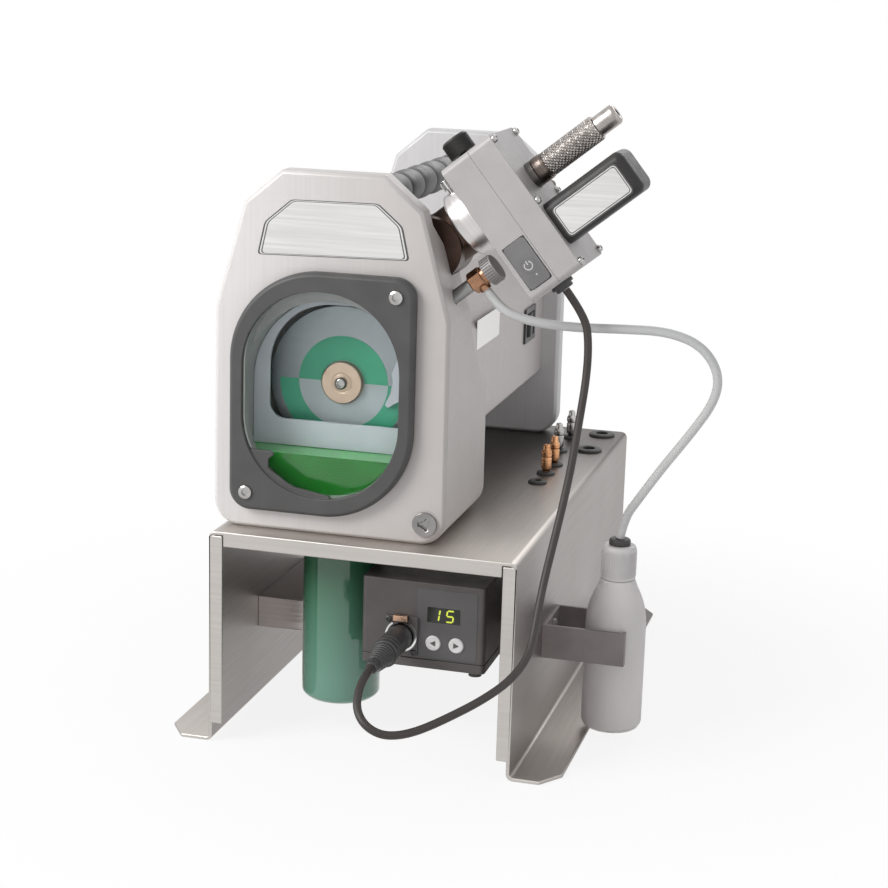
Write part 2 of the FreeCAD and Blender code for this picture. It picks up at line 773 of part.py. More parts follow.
frame_shelf = slab("frame_shelf", "XZ_Plane", [
    ("-window_left - shelf_nose", "shelf_height"), ("-window_left + shelf_reach / 2", "window_low + 2 * shelf_rise"),
    ("-window_round / 2", "window_low + shelf_nose / 2"), ("window_round / 7", "window_low - shelf_nose"),
    ("window_round / 7", "window_low + shelf_nose"), ("-window_left + shelf_run", "window_low + shelf_rise"),
    ("-window_left + shelf_reach - shelf_nose", "shelf_height - shelf_fall"),
    ("-window_left + shelf_reach - shelf_nose", "shelf_height - shelf_fall / 2"),
    ("-window_left + shelf_reach + shelf_nose", "shelf_height - shelf_nose"),
    ("-window_left + shelf_reach", "shelf_height")], "shelf_sheet")
set_at(frame_shelf, (WHEEL_X, CASE_Y + " - frame_thickness + shelf_back", "stand_height"))
node("window_frame", join("window_frame", cut("frame_cut", frame_ring, frame_hole, pane_rebate, *frame_wells), frame_shelf))
node("window_pane", stadium("window_pane", "(window_left + pane_margin - fluid_gap)",
                            "window_low - pane_margin + fluid_gap", "window_high + pane_margin - fluid_gap",
                            "window_round + pane_margin - fluid_gap", "pane_thickness",
                            CASE_Y + " - pane_thickness"))


def frame_screw(name, x, z):
    outline = [
        ("0", "0"), ("frame_screw_shank_r", "0"),
        ("frame_screw_shank_r", "front_wall - 1 + frame_thickness"),
        ("frame_screw_r", "front_wall - 1 + frame_thickness"),
        ("frame_screw_r", "front_wall - 1 + frame_thickness + frame_screw_head"),
        ("0", "front_wall - 1 + frame_thickness + frame_screw_head"),
    ]
    return turned(name, outline, (x, SCREW_END, z), "-y")


node("window_screws", group("window_screws", *[
    frame_screw("window_screw_%d" % i, x, z) for i, (x, z) in enumerate(SCREW_SPOTS)]))

# Drain plug: a plated round head with a three-way slot

plug_head = rod("plug_head", "plug_radius", "plug_head", (*PLUG_AT[:1], CASE_Y + " - plug_head", PLUG_AT[2]), "y")
plug_neck = rod("plug_neck_rod", "plug_neck_r", "plug_neck", PLUG_AT, "y")
plug_bore = rod("plug_bore", "plug_bore_r", "plug_head", (PLUG_AT[0], CASE_Y + " - plug_head", PLUG_AT[2]), "y")
slots = []
for i in range(3):
    slot = doc.addObject("Part::Box", "plug_slot_%d" % i)
    slot.setExpression("Length", bound("plug_slot_w"))
    slot.setExpression("Width", bound("plug_head"))
    slot.setExpression("Height", bound("plug_slot_l"))
    slot.setExpression("Placement", bound(
        "placement(vector(%s; %s - plug_head; %s); rotation(vector(0; 1; 0); %d))"
        " * placement(vector(-plug_slot_w / 2; 0; 0); rotation(vector(0; 1; 0); 0))"
        % (PLUG_AT[0], CASE_Y, PLUG_AT[2], 30 + 120 * i)))
    slots.append(slot)
node("drain_plug", cut("drain_plug", join("plug_solid", plug_head, plug_neck), plug_bore, *slots))

# Coolant in the chamber and in the jar, and the splash ledge and wiper inside the chamber

WHEEL_BACK = "(machine_setback - stand_depth / 2 + front_wall + chamber_depth - wheel_back_gap)"
WHEEL_FRONT = "(machine_setback - stand_depth / 2 + front_wall + chamber_depth - wheel_back_gap - wheel_width)"
wheel_room = rod("wheel_room", "wheel_radius + 1.5", "wheel_width + 3 + hub_width",
                 (WHEEL_X, WHEEL_FRONT + " - 1.5 - hub_width", WHEEL_Z), "y")
pool = block("coolant_pool", (WHEEL_X + " - chamber_radius + fluid_gap", CASE_Y + " + front_wall + fluid_gap",
                              "stand_height + chamber_floor + fluid_gap"),
             ("2 * chamber_radius - 2 * fluid_gap", "chamber_depth - 2 * fluid_gap",
              "coolant_level - chamber_floor - fluid_gap"))
JAR_TOP = "(stand_height - stand_sheet - collar_roof - jar_rim_gap)"
jar_fill = turned("jar_fill", [
    ("0", "jar_wall + fluid_gap"), ("jar_radius - jar_round", "jar_wall + fluid_gap"),
    ("jar_radius - jar_wall - fluid_gap", "jar_round"),
    ("jar_radius - jar_wall - fluid_gap", JAR_TOP + " - jar_bottom - jar_round"),
    ("0", JAR_TOP + " - jar_bottom - jar_round")], (JAR_X, JAR_Y, "jar_bottom"))
node("coolant", group("coolant", cut("coolant_chamber", pool, wheel_room), jar_fill))

GUARD_Y = CASE_Y + " + front_wall + guard_setback"
guard_low = "(coolant_level + fluid_gap)"
guard_half = "(chamber_radius - fluid_gap)"
guard_disc = rod("guard_disc", guard_half, "guard_sheet", (WHEEL_X, GUARD_Y, WHEEL_Z), "y")
guard_plate = block("guard_plate", (WHEEL_X + " - " + guard_half, GUARD_Y, "stand_height + " + guard_low),
                    ("2 * " + guard_half, "guard_sheet", "wheel_height - " + guard_low))
guard_pool = block("guard_pool", (WHEEL_X + " - 2 * chamber_radius", GUARD_Y + " - guard_sheet", "stand_height"),
                   ("4 * chamber_radius", "3 * guard_sheet", guard_low))
guard_mouth = slab("guard_mouth", "XZ_Plane", rectangle(
    "-chamber_radius + guard_edge", "chamber_radius - guard_sheet", "coolant_level + guard_lip", "wheel_height + guard_arch"),
    "3 * guard_sheet", rounds=[((0, 1), "guard_round"), ((2, 3), "guard_arch - guard_round")])
set_at(guard_mouth, (WHEEL_X, GUARD_Y + " - guard_sheet", "stand_height"))
guard = cut("splash_sheet", join("guard_solid", guard_disc, guard_plate), guard_pool, guard_mouth)
wiper_plate = slab("wiper_plate", "XZ_Plane", [
    ("wiper_in + wiper_tip", "wiper_high"), ("wiper_in", "0.45 * wiper_high"), ("wiper_in + wiper_tip / 5", "0.16 * wiper_high"),
    ("wiper_in - wiper_tip / 8", "-0.19 * wiper_high"), ("wiper_in - wiper_tip", "-0.84 * wiper_low"),
    ("wiper_in - wiper_tip / 2", "-wiper_low"), ("wiper_in + 2 * wiper_tip", "-wiper_low / 2"),
    ("chamber_radius + wiper_tip", "-wiper_low / 3"), ("chamber_radius + wiper_tip", "wiper_high")], "wiper_thickness")
set_at(wiper_plate, (WHEEL_X, WHEEL_FRONT + " - hub_width", WHEEL_Z))
wiper_limit = rod("wiper_limit", guard_half, "4 * hub_width", (WHEEL_X, WHEEL_FRONT + " - 3 * hub_width", WHEEL_Z), "y")
wiper = common("wiper", wiper_plate, wiper_limit)
node("splash_guard", group("splash_guard", guard, wiper))

# Grinding wheel, hub and the motor shaft that carries them

HUB_FRONT = WHEEL_FRONT + " - hub_width"
wheel_disc = rod("wheel_disc", "wheel_radius", "wheel_width", (WHEEL_X, WHEEL_FRONT, WHEEL_Z), "y")
wheel_bore = rod("wheel_bore", "spindle_r", "2 * wheel_width", (WHEEL_X, WHEEL_FRONT + " - 1", WHEEL_Z), "y")
node("grinding_wheel", cut("grinding_wheel", wheel_disc, wheel_bore))
hub_disc = rod("hub_disc", "hub_radius", "hub_width", (WHEEL_X, HUB_FRONT, WHEEL_Z), "y")
hub_bore = rod("hub_bore", "hub_hex_r + 1", "2 * hub_width", (WHEEL_X, HUB_FRONT + " - 1", WHEEL_Z), "y")
node("hub_flange", cut("hub_flange", hub_disc, hub_bore))
screw_head = rod("hub_screw_top", "hub_screw_r", "hub_screw_head",
                 (WHEEL_X, HUB_FRONT + " - hub_screw_head", WHEEL_Z), "y")
screw_shank = rod("hub_screw_shank", "hub_hex_r + 1", "hub_width", (WHEEL_X, HUB_FRONT, WHEEL_Z), "y")
screw_hex = rod("hub_screw_hex", "hub_hex_r", "hub_hex_depth",
                (WHEEL_X, HUB_FRONT + " - hub_screw_head", WHEEL_Z), "y")
node("hub_screw", cut("hub_screw", join("hub_screw_solid", screw_head, screw_shank), screw_hex))

MOTOR_END = BAY_Y + " + motor_length"
ROTOR_Y = BAY_Y + " + motor_end + rotor_end_gap"
shaft_rod = rod("shaft_rod", "spindle_r", "wheel_width + wheel_back_gap + partition + motor_length",
                (WHEEL_X, WHEEL_FRONT, WHEEL_Z), "y")
rotor = rod("rotor", "rotor_radius", "motor_length - 2 * motor_end - 2 * rotor_end_gap",
            (WHEEL_X, ROTOR_Y, WHEEL_Z), "y")
shaft_collar = rod("shaft_collar", "spindle_r + 1.5", "wheel_back_gap - 1", (WHEEL_X, WHEEL_BACK, WHEEL_Z), "y")
node("motor_shaft", join("motor_shaft", shaft_rod, rotor, shaft_collar))
motor_can = rod("motor_can", "motor_radius", "motor_length", (WHEEL_X, BAY_Y, WHEEL_Z), "y")
motor_bore = rod("motor_bore", "motor_bore_r", "motor_length - 2 * motor_end",
                 (WHEEL_X, BAY_Y + " + motor_end", WHEEL_Z), "y")
bearing_seats = rod("bearing_seats", "bearing_r", "motor_length + 2", (WHEEL_X, BAY_Y + " - 1", WHEEL_Z), "y")
node("motor_housing", cut("motor_housing", motor_can, motor_bore, bearing_seats))


def bearing(name, y):
    ring = rod(name + "_ring", "bearing_r", "bearing_width", (WHEEL_X, y, WHEEL_Z), "y")
    hole = rod(name + "_bore", "spindle_r + run_gap", "3 * bearing_width",
               (WHEEL_X, y + " - bearing_width", WHEEL_Z), "y")
    return cut(name, ring, hole)


node("motor_bearings", group("motor_bearings", bearing("front_bearing", BAY_Y),
                             bearing("rear_bearing", MOTOR_END + " - bearing_width")))

# Motor cover and rear plate

REAR_Y = "(rear_setback - stand_depth / 2)"
cover_length = REAR_Y + " - " + BAY_Y
cover_block = slab("cover_block", "XZ_Plane", cover_sides, cover_length)
set_at(cover_block, (MACHINE_X, BAY_Y, "stand_height"))
inside = [
    ("-cover_half_width + cover_bevel", "cover_low + cover_wall"),
    ("cover_half_width - cover_bevel", "cover_low + cover_wall"),
    ("cover_half_width - cover_wall", "cover_low + cover_bevel + cover_wall / 2"),
    ("cover_half_width - cover_wall", "cover_shoulder - cover_wall / 2"),
    ("cover_top_half - cover_wall / 2", "cover_high - cover_wall"),
    ("-cover_top_half + cover_wall / 2", "cover_high - cover_wall"),
    ("-cover_half_width + cover_wall", "cover_shoulder - cover_wall / 2"),
    ("-cover_half_width + cover_wall", "cover_low + cover_bevel + cover_wall / 2"),
]
cover_room = slab("cover_room", "XZ_Plane", inside, cover_length + " + 2")
set_at(cover_room, (MACHINE_X, BAY_Y + " - 1", "stand_height"))
SWITCH_Y = REAR_Y + " - switch_from_back"
SWITCH_Z = "(stand_height + switch_height)"
SIDE_X = "(stand_x + machine_offset + cover_half_width)"
switch_hole = block("switch_hole", (SIDE_X + " - switch_depth", SWITCH_Y + " - switch_length / 2",
                                    SWITCH_Z + " - switch_tall / 2"),
                    ("2 * switch_depth", "switch_length", "switch_tall"))
node("motor_cover", cut("motor_cover", cover_block, cover_room, switch_hole))

rear = slab("rear_plate", "XZ_Plane", eight_sides, "rear_thickness", rounds=[((0, 1), "case_corner")],
            edge="case_edge")
set_at(rear, (MACHINE_X, REAR_Y, "stand_height"))
INLET_Z = "(stand_height + inlet_height)"
REAR_BACK = "(rear_setback - stand_depth / 2 + rear_thickness)"


def inlet_box(name, half_width, half_height, start, depth):
    return block(name, (MACHINE_X + " - " + half_width, start, INLET_Z + " - " + half_height),
                 ("2 * " + half_width, depth, "2 * " + half_height))


inlet_way = inlet_box("inlet_way", "(inlet_well_w / 2 + inlet_shell)", "(inlet_well_t / 2 + inlet_shell)",
                      REAR_Y + " - 1", "rear_thickness + 2")
node("rear_plate", cut("rear_plate", rear, inlet_way))

# Carry handle: a bar between casing and rear plate with moulded ribs

HANDLE = (MACHINE_X + " + handle_offset - machine_offset", CASE_Y + " + crown_top_depth",
          "stand_height + top_height - handle_below_top")
HANDLE_LENGTH = REAR_Y + " - " + CASE_Y + " - crown_top_depth"
bar = rod("handle_bar", "handle_radius", HANDLE_LENGTH, HANDLE, "y")
rib_count = int((number(HANDLE_LENGTH) - number("2 * handle_rib_start")) // number("handle_rib_pitch"))
ribs = [rod("handle_rib_%d" % i, "handle_rib_r", "handle_rib_width",
            (HANDLE[0], HANDLE[1] + " + handle_rib_start + %d * handle_rib_pitch" % i, HANDLE[2]), "y")
        for i in range(rib_count)]
node("carry_handle", join("carry_handle", bar, *ribs))

# Mains switch in the cover's right side and the inlet in the rear plate

bezel_rim = block("bezel_rim", (SIDE_X, SWITCH_Y + " - switch_length / 2 - switch_rim",
                                SWITCH_Z + " - switch_tall / 2 - switch_rim"),
                  ("switch_proud", "switch_length + 2 * switch_rim", "switch_tall + 2 * switch_rim"))
bezel_box = block("bezel_box", (SIDE_X + " - switch_depth", SWITCH_Y + " - switch_length / 2",
                                SWITCH_Z + " - switch_tall / 2"),
                  ("switch_depth + switch_proud", "switch_length", "switch_tall"))
bezel_room = block("bezel_room", (SIDE_X + " - switch_depth + 2", SWITCH_Y + " - switch_length / 2 + 2",
                                  SWITCH_Z + " - switch_tall / 2 + 2"),
                   ("2 * switch_depth", "switch_length - 4", "switch_tall - 4"))
node("switch_bezel", cut("switch_bezel", join("bezel_solid", bezel_rim, bezel_box), bezel_room))
ROCKER = ("placement(vector(%s - rocker_in; %s; %s); rotation(vector(0; 0; 1); rocker_tilt))"
          % (SIDE_X, SWITCH_Y, SWITCH_Z))
rocker_key = block("rocker_key", ("0", "-rocker_half", "-switch_tall / 2 + 2.5"),
                   ("rocker_in + switch_proud + rocker_proud", "2 * rocker_half", "switch_tall - 5"))
rocker_axle = rod("rocker_axle", "rocker_axle_r", "switch_tall - 4.2", ("0", "0", "-switch_tall / 2 + 2.1"))
node("rocker_switch", join("rocker_switch", rocker_key, rocker_axle), ROCKER)

inlet_flange = inlet_box("inlet_flange", "(inlet_width / 2)", "(inlet_tall / 2)", REAR_BACK, "inlet_proud")
inlet_body = inlet_box("inlet_body", "(inlet_well_w / 2 + inlet_shell)", "(inlet_well_t / 2 + inlet_shell)",
                       REAR_BACK + " - inlet_sink", "inlet_sink")
inlet_well = inlet_box("inlet_well", "(inlet_well_w / 2)", "(inlet_well_t / 2)",
                       REAR_BACK + " - inlet_sink + inlet_shell", "2 * inlet_sink")
inlet_pins = []
for i, (across, up) in enumerate((("-inlet_pin_pitch", "-inlet_pin_drop"), ("0", "inlet_pin_drop"),
                                  ("inlet_pin_pitch", "-inlet_pin_drop"))):
    inlet_pins.append(block("inlet_pin_%d" % i,
                            (MACHINE_X + " + %s - inlet_pin_w / 2" % across, REAR_BACK + " - inlet_sink",
                             INLET_Z + " + %s - inlet_pin_t / 2" % up),
                            ("inlet_pin_w", "inlet_pin + inlet_shell", "inlet_pin_t")))
inlet_hollow = cut("inlet_hollow", join("inlet_solid", inlet_flange, inlet_body), inlet_well)
node("mains_inlet", join("mains_inlet", inlet_hollow, *inlet_pins))

# Drip fitting: brass body with a stem in the casing, a barb for the hose and a knurled nut

fitting_stem = rod("fitting_stem", "fitting_stem_r", "fitting_stem_in",
                   ("fitting_start - fitting_stem_in", "-fitting_fore", "-fitting_drop"), "x")
fitting_body = rod("fitting_body", "fitting_r", "fitting_length",
                   ("fitting_start", "-fitting_fore", "-fitting_drop"), "x")
fitting_barb = rod("fitting_barb", "barb_r", "barb_out",
                   ("fitting_start + barb_at", "-fitting_fore", "-fitting_drop"), "-z")
node("hose_fitting", join("hose_fitting", fitting_stem, fitting_body, fitting_barb), HEAD)
node("hose_nut", rod("hose_nut", "nut_r", "nut_length",
                     ("fitting_start + fitting_length", "-fitting_fore", "-fitting_drop"), "x", HEAD))

# Sludge jar and the collar that holds it under the stand

jar_outer = [
    ("0", "0"), ("jar_radius - jar_round", "0"), ("jar_radius", "jar_round"),
    ("jar_radius", JAR_TOP + " - jar_bottom"), ("jar_radius - jar_wall", JAR_TOP + " - jar_bottom"),
    ("jar_radius - jar_wall", "jar_round"), ("jar_radius - jar_round", "jar_wall"), ("0", "jar_wall"),
]
node("sludge_jar", turned("sludge_jar", jar_outer, (JAR_X, JAR_Y, "jar_bottom")))
collar = [
    ("drain_bore_r", "-collar_roof"), ("jar_radius + jar_rim_gap", "-collar_roof"),
    ("jar_radius + jar_rim_gap", "-collar_drop"), ("jar_radius + collar_wall", "-collar_drop"),
    ("jar_radius + collar_wall", "0"), ("drain_bore_r", "0"),
]
node("jar_collar", turned("jar_collar", collar, (JAR_X, JAR_Y, ROOF)))

# Drip bottle in its spring clip on the right leg

PANEL_X = "(stand_x + stand_width / 2)"
BOTTLE_X = "(stand_x + stand_width / 2 + bottle_out)"
BOTTLE_Y = "(bottle_setback - stand_depth / 2)"
NECK_Z = "bottle_shoulder + bottle_dome"
SLOPE = [(0.0, 0.0), (0.06, 0.21), (0.23, 0.45), (0.51, 0.66), (0.79, 0.83), (1.0, 1.0)]
slope_out = [("bottle_radius - %g * (bottle_radius - bottle_throat_r)" % across, "bottle_shoulder + %g * bottle_dome" % up)
             for across, up in SLOPE]
slope_in = [(r + " - bottle_wall", z + " - bottle_wall / 2") for r, z in reversed(slope_out)]
bottle = [
    ("0", "0"), ("bottle_radius - bottle_heel", "0"), ("bottle_radius", "bottle_heel"),
    *slope_out, ("bottle_neck_r", NECK_Z), ("bottle_neck_r", NECK_Z + " + bottle_neck"),
    ("bottle_neck_r - bottle_wall", NECK_Z + " + bottle_neck"), ("bottle_neck_r - bottle_wall", NECK_Z + " - bottle_wall / 2"),
    *slope_in,
    ("bottle_radius - bottle_wall", "bottle_heel"), ("bottle_radius - bottle_heel", "bottle_wall"),
    ("0", "bottle_wall"),
]
node("drip_bottle", turned("drip_bottle", bottle, (BOTTLE_X, BOTTLE_Y, "bottle_base")))
CAP_Z = "(bottle_base + bottle_shoulder + bottle_dome + bottle_neck - cap_height + cap_roof)"
cap_sides = [
    ("cap_grommet_r", "cap_height"), ("cap_grommet_r", "cap_height - cap_roof"),
    ("bottle_neck_r + fluid_gap", "cap_height - cap_roof"), ("bottle_neck_r + fluid_gap", "0.5"),
    ("cap_radius", "0.5"), ("cap_radius", "cap_height"),
]
node("bottle_cap", turned("bottle_cap", cap_sides, (BOTTLE_X, BOTTLE_Y, CAP_Z)))
grommet_sides = [
    ("0", "cap_height - cap_roof"), ("cap_grommet_r", "cap_height - cap_roof"),
    ("cap_grommet_r", "cap_height"), ("cap_grommet_r + 2", "cap_height"),
    ("hose_d / 2 + 1", "cap_height + cap_grommet_proud"), ("0", "cap_height + cap_grommet_proud"),
]
node("cap_grommet", turned("cap_grommet", grommet_sides, (BOTTLE_X, BOTTLE_Y, CAP_Z)))

ARM_GAP = "(bottle_radius + clip_gap)"
clip_pieces = [block("clip_back", (PANEL_X, BOTTLE_Y + " - " + ARM_GAP + " - clip_arm", "clip_low"),
                     ("clip_base", "2 * %s + 2 * clip_arm" % ARM_GAP, "clip_height"))]
for i, side in enumerate(("-" + ARM_GAP + " - clip_arm", ARM_GAP)):
    clip_pieces.append(block("clip_arm_%d" % i, (PANEL_X, BOTTLE_Y + " + " + side, "clip_low"),
                             ("clip_reach", "clip_arm", "clip_height")))
for i, side in enumerate(("-" + ARM_GAP, ARM_GAP + " - clip_lip")):
    clip_pieces.append(block("clip_lip_%d" % i, (PANEL_X + " + clip_reach - clip_arm",
                                                 BOTTLE_Y + " + " + side, "clip_low"),
                             ("clip_arm", "clip_lip", "clip_height")))
bottle_room = rod("bottle_room", ARM_GAP, "2 * stand_height", (BOTTLE_X, BOTTLE_Y, "0"))
node("bottle_clip", cut("bottle_clip", join("clip_solid", *clip_pieces), bottle_room))

# Control box: top shell, base, feet, two buttons and the cable socket with its latch

BOX_X = "(stand_x + box_left)"
BOX_Y = "(box_setback - stand_depth / 2)"
BOX_DEPTH = "(brace_setback - box_setback)"


def box_slab(name, inset, low, high):
    corners = rectangle(inset, "box_width - " + inset, inset, BOX_DEPTH + " - " + inset)
    piece = slab(name, "XY_Plane", corners, high + " - " + low, rounds=[((0, 1, 2, 3), "box_round - " + inset)])
    set_at(piece, (BOX_X, BOX_Y, low))
    return piece


def button_at(i):
    return (BOX_X + " + button_left_x + %d * button_pitch" % i, BOX_Y + " - button_proud",
            "box_bottom + button_height")


SOCKET = (BOX_X + " + socket_x", "box_bottom + socket_height")
button_ways = [rod("button_way_%d" % i, "button_r + clear_gap", "4 * box_wall",
                   (button_at(i)[0], BOX_Y + " - 2 * box_wall", button_at(i)[2]), "y") for i in range(2)]
socket_way = rod("socket_way", "socket_r", "4 * box_wall", (SOCKET[0], BOX_Y + " - 2 * box_wall", SOCKET[1]), "y")
shell_room = box_slab("shell_room", "box_wall", "box_seam - 1", "box_top - box_wall")
node("control_shell", cut("control_shell", box_slab("shell_block", "0", "box_seam", "box_top"),
                          shell_room, *button_ways, socket_way))
base_room = box_slab("base_room", "box_wall", "box_bottom + box_wall", "box_seam + 1")
node("control_base", cut("control_base", box_slab("base_block", "0", "box_bottom", "box_seam"), base_room))
FEET = [(BOX_X + " + " + x, BOX_Y + " + " + y) for x in ("box_foot_in", "box_width - box_foot_in")
        for y in ("box_foot_in", BOX_DEPTH + " - box_foot_in")]
node("control_feet", group("control_feet", *[
    rod("control_foot_%d" % i, "box_foot_r", "box_foot", (x, y, "box_bottom - box_foot"))
    for i, (x, y) in enumerate(FEET)]))
for i, label in enumerate(("left_button", "right_button")):
    stem = rod(label + "_stem", "button_r", "button_length", button_at(i), "y")
    x, y, z = button_at(i)
    rim = rod(label + "_rim", "button_r + 1.5", "1.5",
              (x, BOX_Y + " + box_wall + clear_gap", z), "y")
    node(label, join(label, stem, rim))

flange = block("socket_plate", (SOCKET[0] + " - socket_width / 2", BOX_Y + " - socket_flange",
                                SOCKET[1] + " - socket_tall / 2"),
               ("socket_width", "socket_flange", "socket_tall"))
barrel = rod("socket_barrel", "socket_r", "socket_depth + socket_flange",
             (SOCKET[0], BOX_Y + " - socket_flange", SOCKET[1]), "y")
socket_bore = rod("socket_bore", "socket_bore_r", "socket_depth",
                  (SOCKET[0], BOX_Y + " - socket_flange", SOCKET[1]), "y")
LATCH_LOW = (SOCKET[0] + " - latch_width / 2", BOX_Y + " - socket_flange - latch_proud",
             SOCKET[1] + " + latch_lift - latch_tall / 2")
latch_way = block("latch_way", (LATCH_LOW[0] + " - clear_gap", BOX_Y + " - socket_flange",
                                LATCH_LOW[2] + " - 2 - clear_gap"),
                  ("latch_width + 2 * clear_gap", "socket_flange / 2", "latch_tall + 2 + 2 * clear_gap"))
node("panel_socket", cut("panel_socket", join("socket_solid", flange, barrel), socket_bore, latch_way))
node("socket_latch", block("socket_latch", LATCH_LOW,
                           ("latch_width", "latch_proud + socket_flange / 2 - clear_gap", "latch_tall")))

# Cable plug in the socket, and its bend relief

PLUG_Y = BOX_Y + " - socket_flange"
nose = rod("plug_nose", "plug_nose_r", "plug_nose", (SOCKET[0], PLUG_Y, SOCKET[1]), "y")
barrel = rod("plug_barrel", "plug_body_r", "plug_body", (SOCKET[0], PLUG_Y, SOCKET[1]), "-y")
node("plug_body", join("plug_body", nose, barrel))
node("plug_boot", tip("plug_boot", "boot_r", "boot_tip_r", "boot_length",
                      (SOCKET[0], PLUG_Y + " - plug_body", SOCKET[1]), "-y"))

# Swing drum: it turns on a pin in the casing and carries the head

drum = rod("drum", "drum_r", "2 * drum_half", ("0", "-drum_half", "0"), "y")
neck = rod("drum_neck", "neck_r", "neck_end", ("0", "0", "0"), "x")
port = rod("drum_port", "port_r", "4 * drum_r", ("-2 * drum_r", "0", "0"), "x")
pin_way = rod("pin_way", "pin_r + run_gap", "pin_reach + clear_gap", ("0", "-drum_half", "0"), "y")
node("swing_drum", cut("swing_drum", join("drum_solid", drum, neck), port, pin_way), HEAD)
node("pivot_pin", rod("pivot_pin", "pin_r", "pin_grip + clear_gap + pin_reach",
                      (PIVOT_X, PIVOT_Y + " - drum_half - clear_gap - pin_grip", PIVOT_Z), "y"))

# Head flange with the spigot that the head clamps on

flange_disc = rod("flange_disc", "flange_r", "head_back - neck_end", ("neck_end", "0", "0"), "x")
spigot = rod("spigot", "spigot_r", "spigot_length", ("head_back", "0", "0"), "x")
flange_port = rod("flange_port", "port_r", "head_back + spigot_length", ("neck_end / 2", "0", "0"), "x")
thumb_way = rod("thumb_way", "thumb_screw_r + run_gap", "thumb_screw_in",
                ("thumb_at", "0", "flange_r - thumb_screw_in"))
node("head_flange", cut("head_flange", join("flange_solid", flange_disc, spigot), flange_port, thumb_way), HEAD)

# Head shells: two cast halves that part across the electrode's axis

SEAM = "(head_back + rear_shell)"
FACE = "(head_back + rear_shell + front_shell)"


def head_slab(name, start, length, inset):
    corners = rectangle("-head_half + " + inset, "head_half - " + inset,
                        "-head_fall + " + inset, "head_rise - " + inset)
    piece = slab(name, "YZ_Plane", corners, length, rounds=[((0, 1, 2, 3), "head_round - %s / 2" % inset)])
    set_at(piece, (start, "0", "0"))
    return piece


PAD_LOW = ("head_back + pad_start", "-head_half", "-pad_drop - pad_length")
pad_way = block("pad_way", (PAD_LOW[0] + " - clear_gap", "-head_half - 1", PAD_LOW[2] + " - clear_gap"),
                ("pad_width + 2 * clear_gap", "pad_thickness + 1", "pad_length + 2 * clear_gap"))
rear_room = head_slab("rear_room", "head_back + head_wall", "rear_shell", "head_wall")
spigot_way = rod("spigot_way", "spigot_r", "2 * head_wall", ("head_back - head_wall / 2", "0", "0"), "x")
KNOB_Z = "head_rise"
knob_way = rod("knob_way", "knob_screw_r + run_gap", "2 * head_wall", ("knob_at", "0", "head_rise - 1.5 * head_wall"))
node("head_rear_shell", cut("head_rear_shell", head_slab("rear_block", "head_back", "rear_shell", "0"),
                            rear_room, spigot_way, knob_way, pad_way), HEAD)
front_room = head_slab("front_room", SEAM + " - head_wall", "front_shell", "head_wall")
sleeve_way = rod("sleeve_way", "sleeve_nose_r + run_gap", "3 * head_wall", (FACE + " - 2 * head_wall", "0", "0"), "x")
MOTOR_AT = ("-motor_fore", "-motor_drop")
motor_way = rod("motor_way", "drive_motor_r + clear_gap", "3 * head_wall",
                (FACE + " - 2 * head_wall", *MOTOR_AT), "x")
GLAND_X = "gland_at"
gland_way = rod("gland_way", "gland_r", "2 * head_wall", ("gland_at", "-gland_fore", "-head_fall - head_wall / 2"))
HEAD_SPOTS = [("%s * (head_half - screw_inset)" % side, w) for side in ("-1", "1")
              for w in ("head_rise - screw_inset", "-screw_middle", "-head_fall + screw_inset")]
screw_ways = [rod("head_screw_way_%d" % i, "screw_shank_r", "screw_shank", (FACE + " - screw_shank", y, w), "x")
              for i, (y, w) in enumerate(HEAD_SPOTS)]
bosses = [rod("head_boss_%d" % i, "screw_r + 1", "front_shell", (SEAM, y, w), "x")
          for i, (y, w) in enumerate(HEAD_SPOTS)]
front_block = head_slab("front_block", SEAM, "front_shell", "0")
bosses_inside = common("head_bosses", join("boss_rods", *bosses),
                       head_slab("boss_limit", SEAM, "front_shell", "0"))
front_hollow = cut("front_hollow", front_block, front_room)
node("head_front_shell", cut("head_front_shell", join("front_solid", front_hollow, bosses_inside),
                             sleeve_way, motor_way, *screw_ways), HEAD)


def head_screw(name, y, w):
    outline = [
        ("0", "-screw_shank"), ("screw_shank_r", "-screw_shank"), ("screw_shank_r", "0"),
        ("screw_r", "0"), ("screw_r", "screw_head"), ("0", "screw_head"),
    ]
    return turned(name, outline, (FACE, y, w), "x")


node("head_screws", group("head_screws", *[
    head_screw("head_screw_%d" % i, y, w) for i, (y, w) in enumerate(HEAD_SPOTS)]), HEAD)

# Power pad on the rear shell's near side

pad_plate = slab("power_pad", "XZ_Plane",
                 rectangle("0", "pad_width", "0", "pad_length"),
                 "pad_thickness + pad_proud - pad_travel - clear_gap",
                 rounds=[((0, 1, 2, 3), "pad_round")])
set_at(pad_plate, (PAD_LOW[0], "-head_half - pad_proud", PAD_LOW[2]), frame=HEAD)
node("power_pad", pad_plate)

# Hand grip, which houses the drive motor

grip = slab("grip_block", "YZ_Plane",
            rectangle("-motor_fore - grip_depth / 2", "-motor_fore + grip_depth / 2",
                      "-motor_drop - grip_width / 2", "-motor_drop + grip_width / 2"),
            "grip_length", rounds=[((0, 1, 2, 3), "grip_round")])
set_at(grip, (FACE, "0", "0"))
grip_room = rod("grip_room", "drive_motor_r + clear_gap", "drive_motor - head_wall + clear_gap",
                (FACE, *MOTOR_AT), "x")
node("hand_grip", cut("hand_grip", grip, grip_room), HEAD)
motor_rod = rod("drive_motor_can", "drive_motor_r", "drive_motor", (FACE + " - head_wall", *MOTOR_AT), "x")
motor_eye = rod("drive_motor_eye", "drive_shaft_r + run_gap", "drive_shaft_in + clear_gap",
                (FACE + " - head_wall", *MOTOR_AT), "x")
node("drive_motor", cut("drive_motor", motor_rod, motor_eye), HEAD)

# Belt drive from the motor to the electrode sleeve

